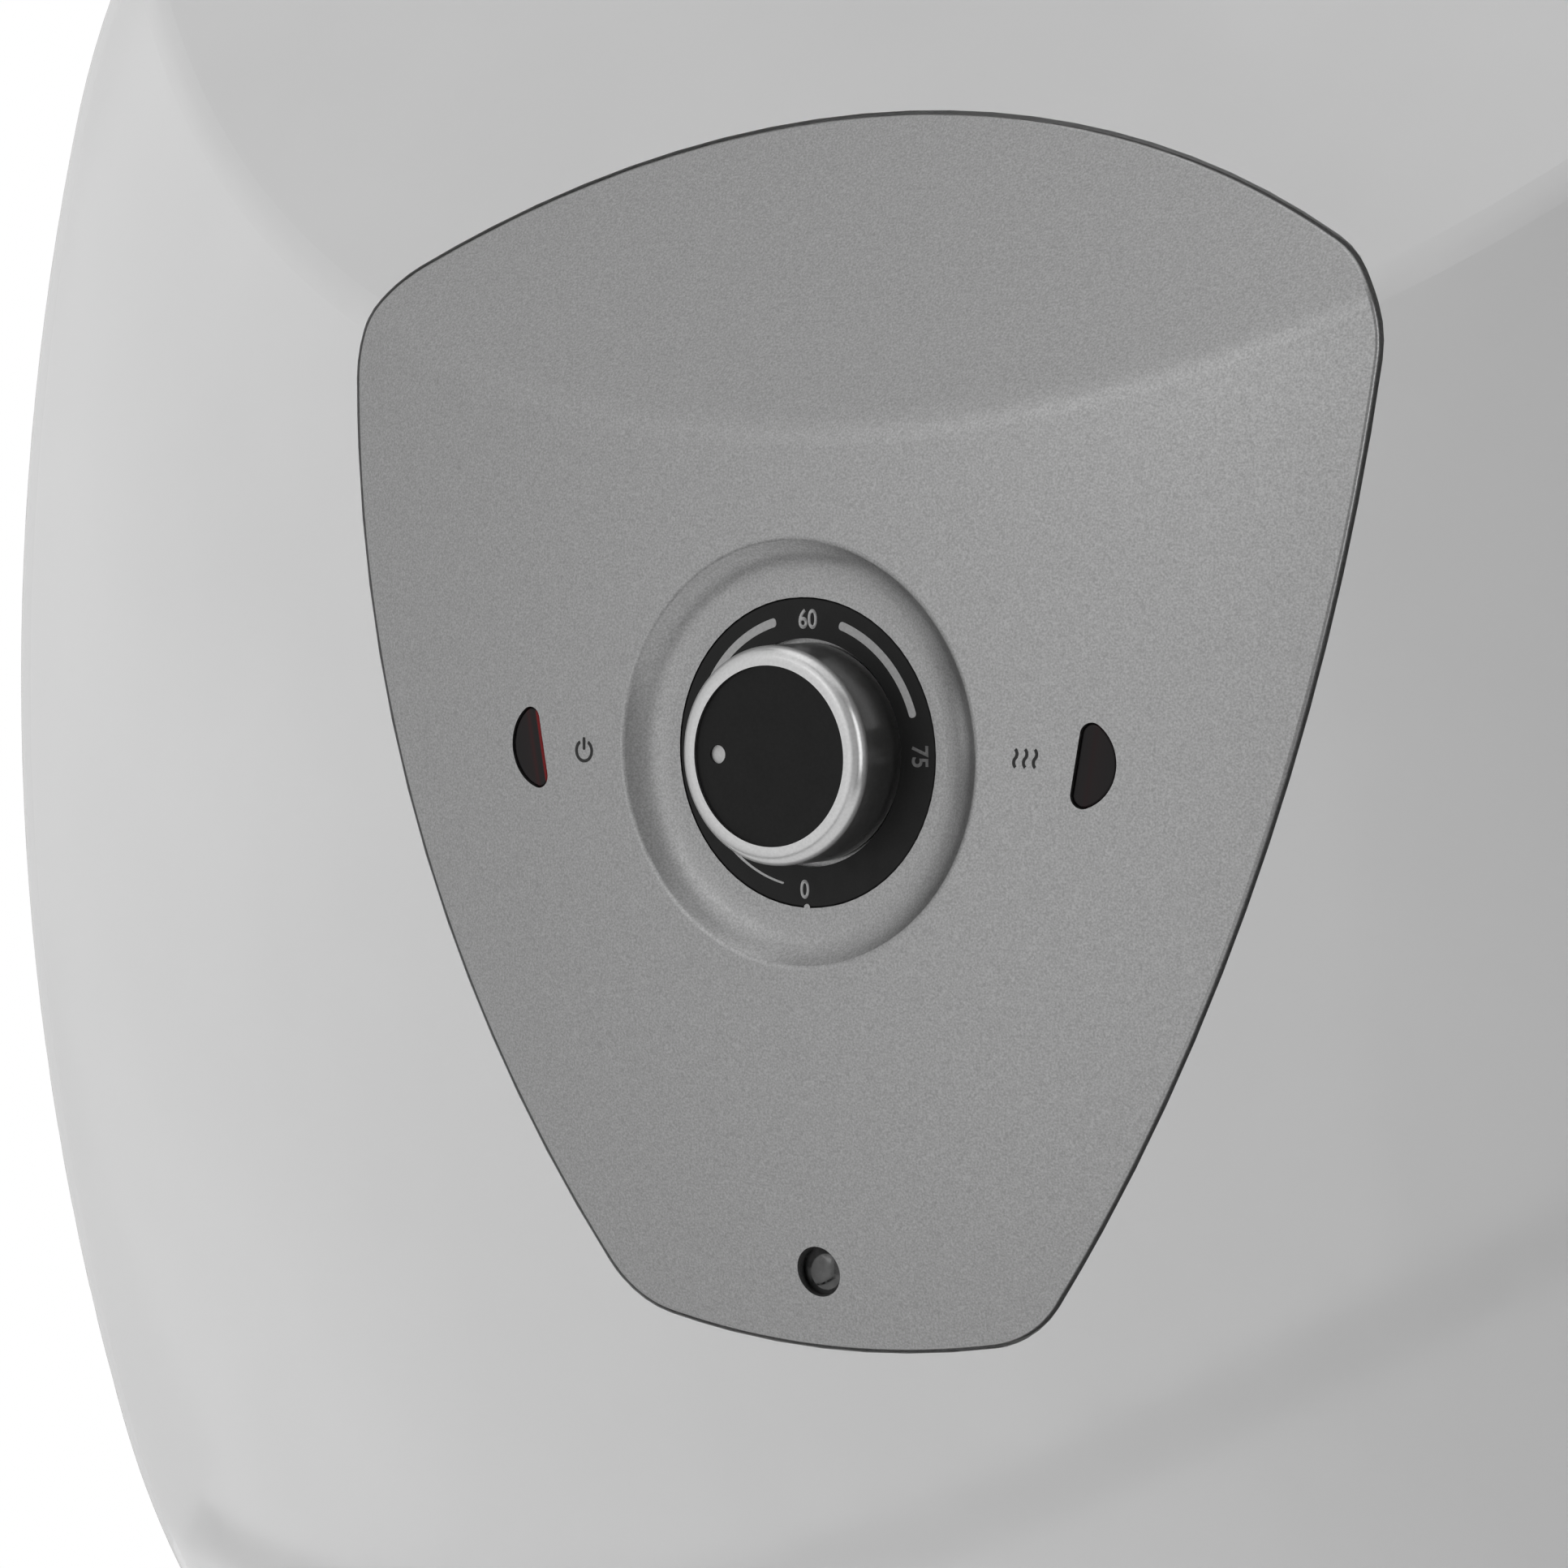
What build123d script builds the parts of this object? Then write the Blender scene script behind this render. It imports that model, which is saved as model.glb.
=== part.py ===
from build123d import *
import os
from functools import lru_cache
from math import asin, atan2, cos, degrees, hypot, radians, sin, sqrt, tan

# Wall-hung electric storage water heater, 30 litre class.
# Frame: the wall is the plane y = 0 and the front looks along -Y, +Z is up, and the
# origin is the middle of the two wall screws, on the wall.  All sizes in millimetres.

# ---- casing ----
CASE_SIZE = 447.0            # width and height over the casing
CASE_DEPTH = 404.0           # wall to the foremost point of the dome
CASE_BELOW_SCREWS = 112.0    # casing centre below the wall screws
CASE_SIDE_R = CASE_SIZE * 2.07       # shallow arc of each side, seen from the front
CASE_CORNER_R = CASE_SIZE * 0.224    # arc of each corner, seen from the front
CASE_WALL = 3.0
DOME_R = CASE_SIZE * 1.253   # spherical front
BROW_TILT = 28.8             # flat upper facet, degrees back from upright
BROW_START = CASE_SIZE * 0.121       # height over the knob where the facet leaves the dome
CREASE_R = 15.0              # rounding of the crease between dome and facet
FRONT_EDGE_R = CASE_SIZE * 0.045     # rounding from the front into the sides
REAR_EDGE_R = 28.0
REAR_CLEAR = 2.0             # casing's back stands this far off the wall
SEAM_AHEAD = 2.0             # joint between the shells, in front of the tank's middle
SEAM_TONGUE = 6.0
SEAM_BEVEL = 0.6
FIT = 0.2                    # clearance between pieces that are assembled together

# ---- dial ----
KNOB_OVER_CENTRE = 13.0      # knob axis above the casing's centre
DIAL_SINK = 4.4              # dial face behind the dome's foremost point
DISH_R = 35.9
DISH_RIM_SLOPE = 46.0        # slope of the dish's wall at its rim, degrees
DISH_LIP_R = 1.1
DISH_BACK = 1.7              # floor left behind the knob
KNOB_FLOOR_GAP = 0.8         # knob's rim to the floor behind it
STEM_HOLE_R = 9.5
RING_R = 26.0
RING_HOLE_R = 19.2
RING_THICK = 1.2
RING_NOTCH_R = 0.7
RING_PIP_R = 0.6             # panel's pip in the ring's notch
KNOB_R = 18.4
KNOB_RISE = 11.0             # knob's face in front of the dial ring
KNOB_EDGE_R = 2.4
KNOB_WALL = 1.8
KNOB_STEM_R = 6.0
DISC_R = 15.1
DISC_THICK = 1.2
DISC_SINK = 0.6
POINTER_R = 1.55
POINTER_AT = 10.7            # pointer's distance from the knob's axis
POINTER_SINK = 0.5
DIMPLE_DEPTH = 0.8           # pointer's dimple in the disc
CLIP_WIRE = 0.8
CLIP_FROM_END = 4.0
STEM_CLEAR = 3.0             # knob's stem in front of the thermostat
RIB_DEPTH = 5.0

# ---- control panel ----
PANEL_THICK = 2.6
PANEL_GAP = 0.55             # open joint round the panel
PANEL_SLACK_X = 0.3          # the panel sits to the left in its opening
PANEL_SLACK_Z = 0.12         # and a little low
PANEL_TOP = 107.4            # panel's top above the knob axis
PANEL_TOP_R = 192.2
PANEL_FOOT = 101.1           # panel's foot below the knob axis
PANEL_FOOT_R = 175.9
PANEL_HALF_WIDTH = 104.7
PANEL_WIDEST = 92.4          # height over the knob of the side arcs' centres
PANEL_SIDE_R = 311.5
PANEL_CORNER_R = 20.0
PANEL_EDGE_R = 0.7
LEDGE_WIDTH = 7.0            # seat under the panel's rim
LEDGE_THICK = 2.4
PANEL_HOOK_X = 45.0
PANEL_HOOK_W = 14.0
PANEL_HOOK_T = 2.0
PANEL_HOOK_STEM = 4.5
PANEL_HOOK_DROP = 6.5        # hooks below the middle of the ledge's inner edge
PANEL_HOOK_REACH = 5.5       # how far a hook goes behind the ledge
PANEL_SCREW_DROP = 88.0      # panel screw below the knob axis
PANEL_SCREW_WELL_R = 4.35
PANEL_SCREW_SINK = 0.6       # screw head below the panel's face
PANEL_SCREW_HEAD_R = 4.15
PANEL_SCREW_HEAD_H = 2.2
PANEL_SCREW_DOME_H = 1.3     # domed part of the head
PANEL_SCREW_R = 1.75
PANEL_SCREW_LENGTH = 15.0
PANEL_SCREW_BOSS_R = 4.6
PANEL_TAB_MARGIN = 2.0       # shell's tab is this much wider than the boss, on each side
PANEL_TAB_ROOT = 3.0         # overlap of the tab and the ledge
PANEL_WELL_FLOOR = 1.6
PANEL_BOSS_DEPTH = 12.0

# ---- lamps ----
LAMP_X = 57.3                # lens centre beside the knob axis
LAMP_DROP = 0.7
LAMP_LEAN = 10.3             # lens leans out at the top, degrees
LENS_HALF_CHORD = 7.55       # half of the flat side before its corners are rounded
LENS_FLAT = 3.15             # lens centre to its flat side
LENS_BULGE = 3.9             # lens centre to its rounded side
LENS_CORNER_R = 2.0
LENS_SINK = 0.35
LENS_DEPTH = 7.0
LENS_FLANGE = 1.0
LENS_GAP = 0.15
LENS_EDGE_R = 0.5
NEON_R = 2.6
NEON_LENGTH = 16.0
HOLDER_LENGTH = 14.0
HOLDER_WALL = 1.4
CELL_DEPTH = 54.0            # wiring space behind the dome's foremost point
CELL_MARGIN = 4.0            # wiring space inside the panel's ledge
CELL_RIM_R = 72.0            # round end of the wiring space over the flange

# ---- tank ----
TANK_R = 186.0
TANK_WALL = 1.8
TANK_HEAD_DEPTH = 55.0
TANK_KNUCKLE_R = 30.0
TANK_REAR_GAP = 30.0         # wall to the tank's rear head
TANK_FRONT_GAP = 66.0        # dome's foremost point to the tank's front head
WELD_BAND_W = 8.0
WELD_BAND_T = 1.0
NECK_R = 62.0
NECK_BORE_R = 40.0
NECK_PROUD = 5.0             # neck's face in front of the head's foremost point
GASKET_T = 3.0
GASKET_R = 46.0
FLANGE_R = 62.0
FLANGE_T = 4.0
FLANGE_BOLTS = 5
FLANGE_BOLT_PCD = 104.0
STUD_R = 4.0
STUD_LENGTH = 18.0
NUT_H = 6.5
NUT_FLATS = 13.0

# ---- element, pockets and anode ----
ELEMENT_TUBE_R = 4.2
ELEMENT_HALF_SPAN = 24.0
ELEMENT_DROP_START = 16.0    # element roots below the knob axis
ELEMENT_ROOT = 46.0          # straight run behind the flange
ELEMENT_SLOPE_RUN = 50.0
ELEMENT_DROP = 92.0
ELEMENT_REACH = 236.0        # how far the element goes behind the flange
ELEMENT_BEND_R = 21.0
ELEMENT_TAIL = 10.0          # cold ends in front of the flange
ELEMENT_PIN_R = 2.0
ELEMENT_PIN_LENGTH = 9.0
POCKET_R = 5.0
POCKET_WALL = 0.8
POCKET_LENGTH = 232.0
ROD_R = 3.4
CONTROL_ROD_LENGTH = 224.0
LIMITER_ROD_LENGTH = 206.0
LIMITER_DROP = 20.0          # limiter pocket below the control pocket
ANODE_R = 7.5
ANODE_LENGTH = 190.0
ANODE_RISE = 30.0            # anode above the knob axis
ANODE_STUD_R = 3.0
ANODE_STUD_DEEP = 20.0
ANODE_STUD_PROUD = 2.0       # stud's end beyond its nut
ANODE_NUT_H = 5.0
ANODE_NUT_FLATS = 10.0
EARTH_X = 32.0
EARTH_RISE = 20.0
EARTH_STUD_R = 2.5
EARTH_STUD_LENGTH = 12.0
EARTH_NUT_H = 4.0
EARTH_NUT_FLATS = 8.0

# ---- thermostat ----
THERMO_W = 38.0
THERMO_H = 66.0
THERMO_DEPTH = 36.0
THERMO_EDGE_R = 2.0
THERMO_DROP = 12.0           # housing's centre below the knob axis
THERMO_STANDOFF = 2.0        # housing in front of the flange
THERMO_FOOT_R = 7.0          # feet round the rods that seat on the flange
SPINDLE_R = 3.0
SPINDLE_FLAT = 0.8           # depth of the D-flat
SPINDLE_BURIED = 9.0
SPINDLE_COLLAR_R = 4.8
SPINDLE_COLLAR_T = 2.0
SPINDLE_RUN = 0.05           # running clearance of the spindle in its bearing
SPINDLE_FIT = 0.05           # clearance of the knob's bore on the spindle
TAB_W = 6.3
TAB_T = 0.8
TAB_LENGTH = 9.0
TAB_X = 9.0
TAB_PITCH = 12.0
TAB_FROM_FRONT = 10.0
RESET_X = 11.0
RESET_DROP = 17.0
RESET_R = 3.0
RESET_HEAD = 2.5             # button in front of the housing
RESET_GUIDE = 2.5            # length of the button's guide in the housing
RESET_COLLAR_R = 3.8
RESET_COLLAR_T = 1.2
RESET_CHAMBER_R = 4.2
RESET_CHAMBER = 9.0
RESET_GAP = 0.08
SPRING_WIRE_R = 0.3
SPRING_R = 1.9
SPRING_COILS = 5

# ---- water connections ----
NIPPLE_SPACING = 100.0
NIPPLE_FROM_WALL = 128.0
NIPPLE_R = 10.48             # G 1/2 thread, outside
NIPPLE_THREAD = 20.0
NIPPLE_TUBE_R = 10.0
NIPPLE_BORE_R = 7.5
NIPPLE_PROUD = 26.0          # below the casing
NIPPLE_INSIDE = 4.0
NIPPLE_CHAMFER = 1.0
COLLAR_R = 17.0
COLLAR_FACE = 2.2
COLLAR_SLEEVE = 9.0
COLLAR_SLEEVE_R = 13.2
DIFFUSER_R = 9.5
DIFFUSER_H = 26.0
DIFFUSER_WALL = 1.5
DIFFUSER_SPIGOT = 8.0        # length inside the nipple
DIFFUSER_EDGE_R = 1.0
DIFFUSER_SLOT_W = 5.0
DIFFUSER_SLOT_FOOT = 6.0     # slots above the nipple's top
DIFFUSER_SLOT_TOP = 8.0      # slots below the cap's top
RISER_R = 5.0
RISER_WALL = 0.8
RISER_SPIGOT = 6.0           # length inside the nipple
RISER_FLANGE_T = 2.0
RISER_TOP_GAP = 12.0         # riser's mouth below the tank's roof

# ---- cable entry ----
GLAND_X = 92.0
GLAND_BEHIND_FRONT = 108.0
GLAND_R = 8.0
GLAND_BORE_R = 3.9
GLAND_HEAD_R = 11.5
GLAND_HEAD_H = 9.0
GLAND_BODY = 15.0
GLAND_NUT_H = 4.5
GLAND_NUT_FLATS = 20.0
CABLE_DUCT_R = 13.0
GLAND_PAD_R = 15.5
GLAND_SPOT_R = 13.5

# ---- wall bracket ----
SCREW_SPACING = 200.0
SLOT_R = 5.0
SLOT_LENGTH = 20.0
BRACKET_W = 250.0
BRACKET_H = 46.0
BRACKET_T = 3.0
BRACKET_CORNER_R = 6.0
BRACKET_LEG_X = 62.0
BRACKET_LEG_W = 40.0
BRACKET_LEG_H = 36.0
BRACKET_WINDOW = 8.0         # opening in the rear shell round the bracket
HOOK_ROOM_W = 34.0           # hollow in the foam behind each slot, for the wall hook
HOOK_ROOM_H = 36.0
HOOK_ROOM_DEPTH = 20.0
PAD_R = 11.0
PAD_X = 120.0
PAD_DROP = 250.0             # wall pads below the wall screws
PAD_SUNK = 1.2

# ---- leads ----
LEAD_R = 1.1
LEAD_BEND_R = 4.0
LEAD_HANG = 14.0             # element lead below its tab
LEAD_RISE = 4.0              # element lead rises on its way to the side
LEAD_BOW = 8.0               # element lead beside its pin
LEAD_DIP = 16.0              # element lead below its pin
LEAD_END = 10.0              # straight end on the pin
LAMP_LEAD_OUT = 9.0          # straight start behind the lamp
LAMP_LEAD_BACK = 12.0        # depth behind the lamp of the run to the housing
LAMP_LEAD_SIDE = 16.0        # straight end at the housing
LAMP_LEAD_DROP = 4.0

# ---- worked out from the sizes above ----
CASE_Z = -CASE_BELOW_SCREWS
CASE_HALF = CASE_SIZE / 2
KNOB_Z = CASE_Z + KNOB_OVER_CENTRE
FRONT_Y = -CASE_DEPTH
DIAL_Y = FRONT_Y + DIAL_SINK
KNOB_FACE_Y = DIAL_Y - KNOB_RISE
TANK_FRONT_Y = FRONT_Y + TANK_FRONT_GAP
TANK_REAR_Y = -TANK_REAR_GAP
NECK_Y = TANK_FRONT_Y - NECK_PROUD
FLANGE_BACK_Y = NECK_Y - GASKET_T
FLANGE_Y = FLANGE_BACK_Y - FLANGE_T
THERMO_BACK_Y = FLANGE_Y - THERMO_STANDOFF
THERMO_Y = THERMO_BACK_Y - THERMO_DEPTH
THERMO_Z = KNOB_Z - THERMO_DROP
TANK_MID_Y = (TANK_FRONT_Y + TANK_REAR_Y) / 2
SEAM_Y = TANK_MID_Y - SEAM_AHEAD
NIPPLE_Y = -NIPPLE_FROM_WALL
NIPPLE_FOOT_Z = CASE_Z - CASE_HALF - NIPPLE_PROUD
NIPPLE_TOP_Z = CASE_Z - sqrt((TANK_R - TANK_WALL) ** 2 - (NIPPLE_SPACING / 2) ** 2) + NIPPLE_INSIDE
GLAND_Y = FRONT_Y + GLAND_BEHIND_FRONT
GLAND_SPOT_Z = CASE_Z - CASE_HALF + CASE_SIDE_R - sqrt(CASE_SIDE_R**2 - (GLAND_X + GLAND_SPOT_R) ** 2)
GLAND_DUCT_Z = GLAND_SPOT_Z + GLAND_BODY + 4 * CASE_WALL
PANEL_SCREW_SEAT_Y = (FRONT_Y + DOME_R - sqrt(DOME_R**2 - PANEL_SCREW_DROP**2)
                      + PANEL_SCREW_SINK + PANEL_SCREW_HEAD_H)
HOOK_UP = (PANEL_TOP - LEDGE_WIDTH - BROW_START - PANEL_HOOK_DROP) / cos(radians(BROW_TILT))
STEM_END_Y = THERMO_Y - STEM_CLEAR
SPINDLE_TIP_Y = KNOB_FACE_Y + DISC_SINK + DISC_THICK + KNOB_WALL
CLIP_Y = STEM_END_Y - CLIP_FROM_END
LAMP_Z = KNOB_Z - LAMP_DROP
RESET_Z = KNOB_Z - RESET_DROP
ELEMENT_Z = KNOB_Z - ELEMENT_DROP_START
FORM_MARGIN = 20.0           # dome and facet run this far past the casing's sides before the cut
FAR = 600.0                  # longer than any cut through the heater


def front_plane(x=0.0, y=0.0, z=0.0):
    """Sketch plane seen from the front: local x is +X, local y is +Z, normal towards -Y."""
    return Plane(origin=(x, y, z), x_dir=(1, 0, 0), z_dir=(0, -1, 0))


def post(x, y0, y1, z, r):
    """Round bar along Y, from y0 (nearer the front) to y1."""
    return front_plane(x, y1, z) * Cylinder(r, y1 - y0, align=(Align.CENTER, Align.CENTER, Align.MIN))


def drum(x, y, z0, z1, r):
    """Round bar along Z, from z0 up to z1."""
    return Pos(x, y, z0) * Cylinder(r, z1 - z0, align=(Align.CENTER, Align.CENTER, Align.MIN))


def block(x0, x1, y0, y1, z0, z1):
    """Rectangular block between two corners."""
    return Pos((x0 + x1) / 2, (y0 + y1) / 2, (z0 + z1) / 2) * Box(x1 - x0, y1 - y0, z1 - z0)


def hexagon(x, y0, y1, z, flats):
    """Hexagon bar along Y."""
    sketch = front_plane(x, y1, z) * RegularPolygon(flats / 2, 6, major_radius=False)
    return extrude(sketch, y1 - y0)


def mirror_x(shape):
    """Left-hand copy of a right-hand piece."""
    return mirror(shape, about=Plane.YZ)


def save(name, shape):
    """Write one node; a group of separate solids stays one compound."""
    solids = shape.solids()
    whole = solids[0] if len(solids) == 1 else Compound(children=list(solids))
    export_step(whole, f"parts/{name}.step")


# ---- casing form ----
def case_outline(inset):
    """Front view of the casing: four shallow side arcs joined by four corner arcs."""
    side_r = CASE_SIDE_R - inset
    corner_r = CASE_CORNER_R - inset
    side_c = CASE_HALF - CASE_SIDE_R
    corner_c = (side_c + sqrt(2 * (side_r - corner_r) ** 2 - side_c**2)) / 2
    turn = atan2(corner_c, corner_c - side_c)
    joint = Vector(side_c + side_r * cos(turn), side_r * sin(turn))
    middle = corner_c + corner_r * sqrt(0.5)
    side = ThreePointArc((joint.X, -joint.Y), (side_c + side_r, 0), (joint.X, joint.Y))
    corner = ThreePointArc((joint.X, joint.Y), (middle, middle), (joint.Y, joint.X))
    edges = []
    for quarter in range(4):
        edges += [Rot(0, 0, 90 * quarter) * side, Rot(0, 0, 90 * quarter) * corner]
    return make_face(edges)


def case_prism(inset, y0, y1):
    """The casing's outline, from y0 (nearer the front) to y1."""
    return extrude(front_plane(0, y1, CASE_Z) * case_outline(inset), y1 - y0)


def dome_y(x, z):
    """Depth of the dome's surface at x, and at z over the knob axis."""
    return FRONT_Y + DOME_R - sqrt(DOME_R**2 - x**2 - z**2)


def brow_plane():
    """Plane on the flat upper facet: local y runs up the facet, local z points out of it."""
    return Pos(0, dome_y(0, BROW_START), KNOB_Z + BROW_START) * Rot(90 - BROW_TILT, 0, 0)


def is_facet(face):
    """True for the flat upper facet."""
    return face.geom_type == GeomType.PLANE and 0.1 < face.normal_at().Z < 0.9


def is_front_rim(edge):
    """True for an edge between the casing's front and its sides."""
    straight_back = edge.geom_type == GeomType.LINE and abs(edge.tangent_at(0.5).Y) > 0.99
    middle = edge.position_at(0.5)
    off_centre = max(abs(middle.X), abs(middle.Z - CASE_Z))
    return off_centre > CASE_HALF * 0.6 and middle.Y < SEAM_Y - 1 and not straight_back


@lru_cache
def face_form(inset):
    """The front's dome and facet alone, without the casing's sides, pulled in by inset."""
    dome = Pos(0, FRONT_Y + DOME_R, KNOB_Z) * Sphere(DOME_R - inset)
    reach = CASE_HALF + FORM_MARGIN
    cap = dome & block(-reach, reach, FRONT_Y - 1, SEAM_Y, CASE_Z - reach, CASE_Z + reach)
    cap -= brow_plane() * Pos(0, 0, FAR / 2 - inset) * Box(2 * FAR, 2 * FAR, FAR)
    crease = cap.faces().filter_by(is_facet)[0].edges().filter_by(GeomType.CIRCLE)
    return fillet(crease, CREASE_R - inset)


@lru_cache
def case_front(inset):
    """Front half of the casing as a full solid, pulled in by inset all round."""
    body = face_form(inset) & case_prism(inset, FRONT_Y - 1, SEAM_Y)
    return fillet(body.edges().filter_by(is_front_rim), FRONT_EDGE_R - inset)


def case_rear(inset):
    """Rear half of the casing as a full solid, pulled in by inset all round."""
    back_y = -REAR_CLEAR - inset
    body = case_prism(inset, SEAM_Y, back_y)
    rim = [e for e in body.edges().filter_by_position(Axis.Y, back_y, back_y)]
    return fillet(rim, REAR_EDGE_R - inset)


# ---- shield outline of the control panel ----
def circles_meet(r0, z0, x1, z1, r1, upper):
    """Upper or lower crossing of a circle centred on the Z axis and a side circle."""
    span = hypot(x1, z1 - z0)
    along = (span**2 + r0**2 - r1**2) / (2 * span)
    off = sqrt(r0**2 - along**2)
    ux, uz = x1 / span, (z1 - z0) / span
    ends = [(along * ux - off * uz, z0 + along * uz + off * ux),
            (along * ux + off * uz, z0 + along * uz - off * ux)]
    pick = max if upper else min
    return pick(ends, key=lambda end: end[1])


def shield(grow):
    """Front view of the control panel about the knob axis, let out by grow all round."""
    top_r = PANEL_TOP_R + grow
    foot_r = PANEL_FOOT_R + grow
    side_r = PANEL_SIDE_R + grow
    side_x = PANEL_HALF_WIDTH - PANEL_SIDE_R
    top_z = PANEL_TOP - PANEL_TOP_R
    foot_z = PANEL_FOOT_R - PANEL_FOOT
    top = circles_meet(top_r, top_z, side_x, PANEL_WIDEST, side_r, True)
    foot = circles_meet(foot_r, foot_z, side_x, PANEL_WIDEST, side_r, False)
    flank = (side_x + sqrt(side_r**2 - PANEL_WIDEST**2), 0)
    edges = [
        ThreePointArc((-top[0], top[1]), (0, top_z + top_r), top),
        ThreePointArc(top, flank, foot),
        ThreePointArc(foot, (0, foot_z - foot_r), (-foot[0], foot[1])),
        ThreePointArc((-foot[0], foot[1]), (-flank[0], 0), (-top[0], top[1])),
    ]
    face = make_face(edges)
    return fillet(face.vertices(), PANEL_CORNER_R + grow)


def shield_prism(grow, y0, y1):
    """The shield outline from y0 (nearer the front) to y1."""
    return extrude(front_plane(0, y1, KNOB_Z) * shield(grow), y1 - y0)


def brow_block(x0, x1, up0, up1, depth0, depth1):
    """Block laid on the flat facet: up0..up1 from the crease, depth0..depth1 under its surface."""
    centre = Pos((x0 + x1) / 2, (up0 + up1) / 2, -(depth0 + depth1) / 2)
    return brow_plane() * centre * Box(x1 - x0, up1 - up0, depth1 - depth0)


# ---- casing shells ----
def front_shell():
    """Domed front of the casing with the panel's seat, the screw tab and the seam groove."""
    shell = case_front(0.0) - case_front(CASE_WALL)
    opening = shield_prism(PANEL_GAP, FRONT_Y - 1, FRONT_Y + CELL_DEPTH)
    shell -= Pos(PANEL_SLACK_X, 0, PANEL_SLACK_Z) * opening
    ledge_top = PANEL_THICK + FIT
    ledge = face_form(ledge_top) - face_form(ledge_top + LEDGE_THICK)
    ledge &= shield_prism(PANEL_GAP + CASE_WALL, FRONT_Y, FRONT_Y + CELL_DEPTH)
    ledge -= shield_prism(-LEDGE_WIDTH, FRONT_Y - 1, FRONT_Y + CELL_DEPTH + 1)
    shell += ledge
    tab_z = KNOB_Z - PANEL_SCREW_DROP
    tab_y = PANEL_SCREW_SEAT_Y + PANEL_WELL_FLOOR + FIT
    tab_foot = KNOB_Z - PANEL_FOOT + LEDGE_WIDTH - PANEL_TAB_ROOT
    half = PANEL_SCREW_BOSS_R + PANEL_TAB_MARGIN
    shell += block(-half, half, tab_y, tab_y + LEDGE_THICK, tab_foot, tab_z) & face_form(ledge_top)
    shell += post(0, tab_y, tab_y + PANEL_BOSS_DEPTH, tab_z, PANEL_SCREW_BOSS_R)
    shell -= post(0, tab_y - 1, tab_y + PANEL_BOSS_DEPTH + 1, tab_z, PANEL_SCREW_R)
    shell += drum(GLAND_X, GLAND_Y, GLAND_SPOT_Z - 2, GLAND_SPOT_Z + CASE_WALL, GLAND_PAD_R)
    shell -= drum(GLAND_X, GLAND_Y, CASE_Z - CASE_HALF - 1, GLAND_SPOT_Z, GLAND_SPOT_R)
    shell -= drum(GLAND_X, GLAND_Y, CASE_Z - CASE_HALF - 1, GLAND_SPOT_Z + 2 * CASE_WALL, GLAND_R + FIT)
    groove = case_prism(CASE_WALL / 2, SEAM_Y - SEAM_TONGUE - FIT, SEAM_Y + 1)
    shell -= groove - case_prism(CASE_WALL + 1, SEAM_Y - SEAM_TONGUE - 1, SEAM_Y + 2)
    return bevel_seam(shell)


def bevel_seam(shell):
    """Small bevel round the outside of a shell's edge at the seam."""
    rim = shell.edges().filter_by(lambda e: on_seam_rim(e))
    return chamfer(rim, SEAM_BEVEL)


def on_seam_rim(edge):
    """True for an edge on the outer side of the seam."""
    box = edge.bounding_box()
    middle = edge.position_at(0.5)
    flat = abs(box.min.Y - SEAM_Y) < 0.01 and abs(box.max.Y - SEAM_Y) < 0.01
    return flat and on_outline(middle.X, middle.Z)


def on_outline(x, z):
    """True where x, z lies on the casing's outer outline, seen from the front."""
    vertex = Vector(x, z - CASE_Z)
    return case_outline(0.0).wire().distance_to(Vertex(vertex.X, vertex.Y, 0)) < 0.05


def rear_shell():
    """Back of the casing: tongue at the seam, bracket window, pipe holes and pad pockets."""
    shell = case_rear(0.0) - case_rear(CASE_WALL)
    tongue = case_prism(CASE_WALL / 2 + FIT, SEAM_Y - SEAM_TONGUE, SEAM_Y + CASE_WALL)
    tongue -= case_prism(CASE_WALL, SEAM_Y - SEAM_TONGUE - 1, SEAM_Y + CASE_WALL + 1)
    shell += tongue
    wide = BRACKET_W / 2 + BRACKET_WINDOW
    high = BRACKET_H / 2 + BRACKET_WINDOW
    shell -= block(-wide, wide, -CASE_WALL * 3, 0, -high, high)
    for side in (-1, 1):
        shell -= drum(side * NIPPLE_SPACING / 2, NIPPLE_Y, CASE_Z - CASE_HALF - 1,
                      CASE_Z - CASE_HALF + 4 * CASE_WALL, COLLAR_SLEEVE_R + FIT)
        shell -= post(side * PAD_X, -REAR_CLEAR - PAD_SUNK, 1, -PAD_DROP, PAD_R)
    return bevel_seam(shell)


def wall_pads():
    """Two rubber pads that keep the casing's foot off the wall."""
    pads = []
    for side in (-1, 1):
        pad = post(side * PAD_X, -REAR_CLEAR - PAD_SUNK, 0, -PAD_DROP, PAD_R)
        pads.append(fillet(pad.edges().sort_by(Axis.Y)[-1], PAD_SUNK / 2))
    return Compound(children=pads)


# ---- control panel ----
def dish_cut():
    """Everything in front of the dish round the dial, as one turned tool."""
    rim_y = dome_y(DISH_R, 0)
    foot_r = DISH_R - (DIAL_Y - rim_y) / tan(radians(DISH_RIM_SLOPE / 2))
    edges = [
        Line((0, FRONT_Y - 5), (0, DIAL_Y)),
        Line((0, DIAL_Y), (foot_r, DIAL_Y)),
        TangentArc((foot_r, DIAL_Y), (DISH_R, rim_y), tangent=(1, 0)),
        Line((DISH_R, rim_y), (DISH_R, FRONT_Y - 5)),
        Line((DISH_R, FRONT_Y - 5), (0, FRONT_Y - 5)),
    ]
    return Pos(0, 0, KNOB_Z) * revolve(make_face(edges), Axis.Y)


def is_dish_lip(edge):
    """True for the circle where the dish meets the panel's face."""
    return edge.geom_type == GeomType.CIRCLE and abs(edge.radius - DISH_R) < 0.05


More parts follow.
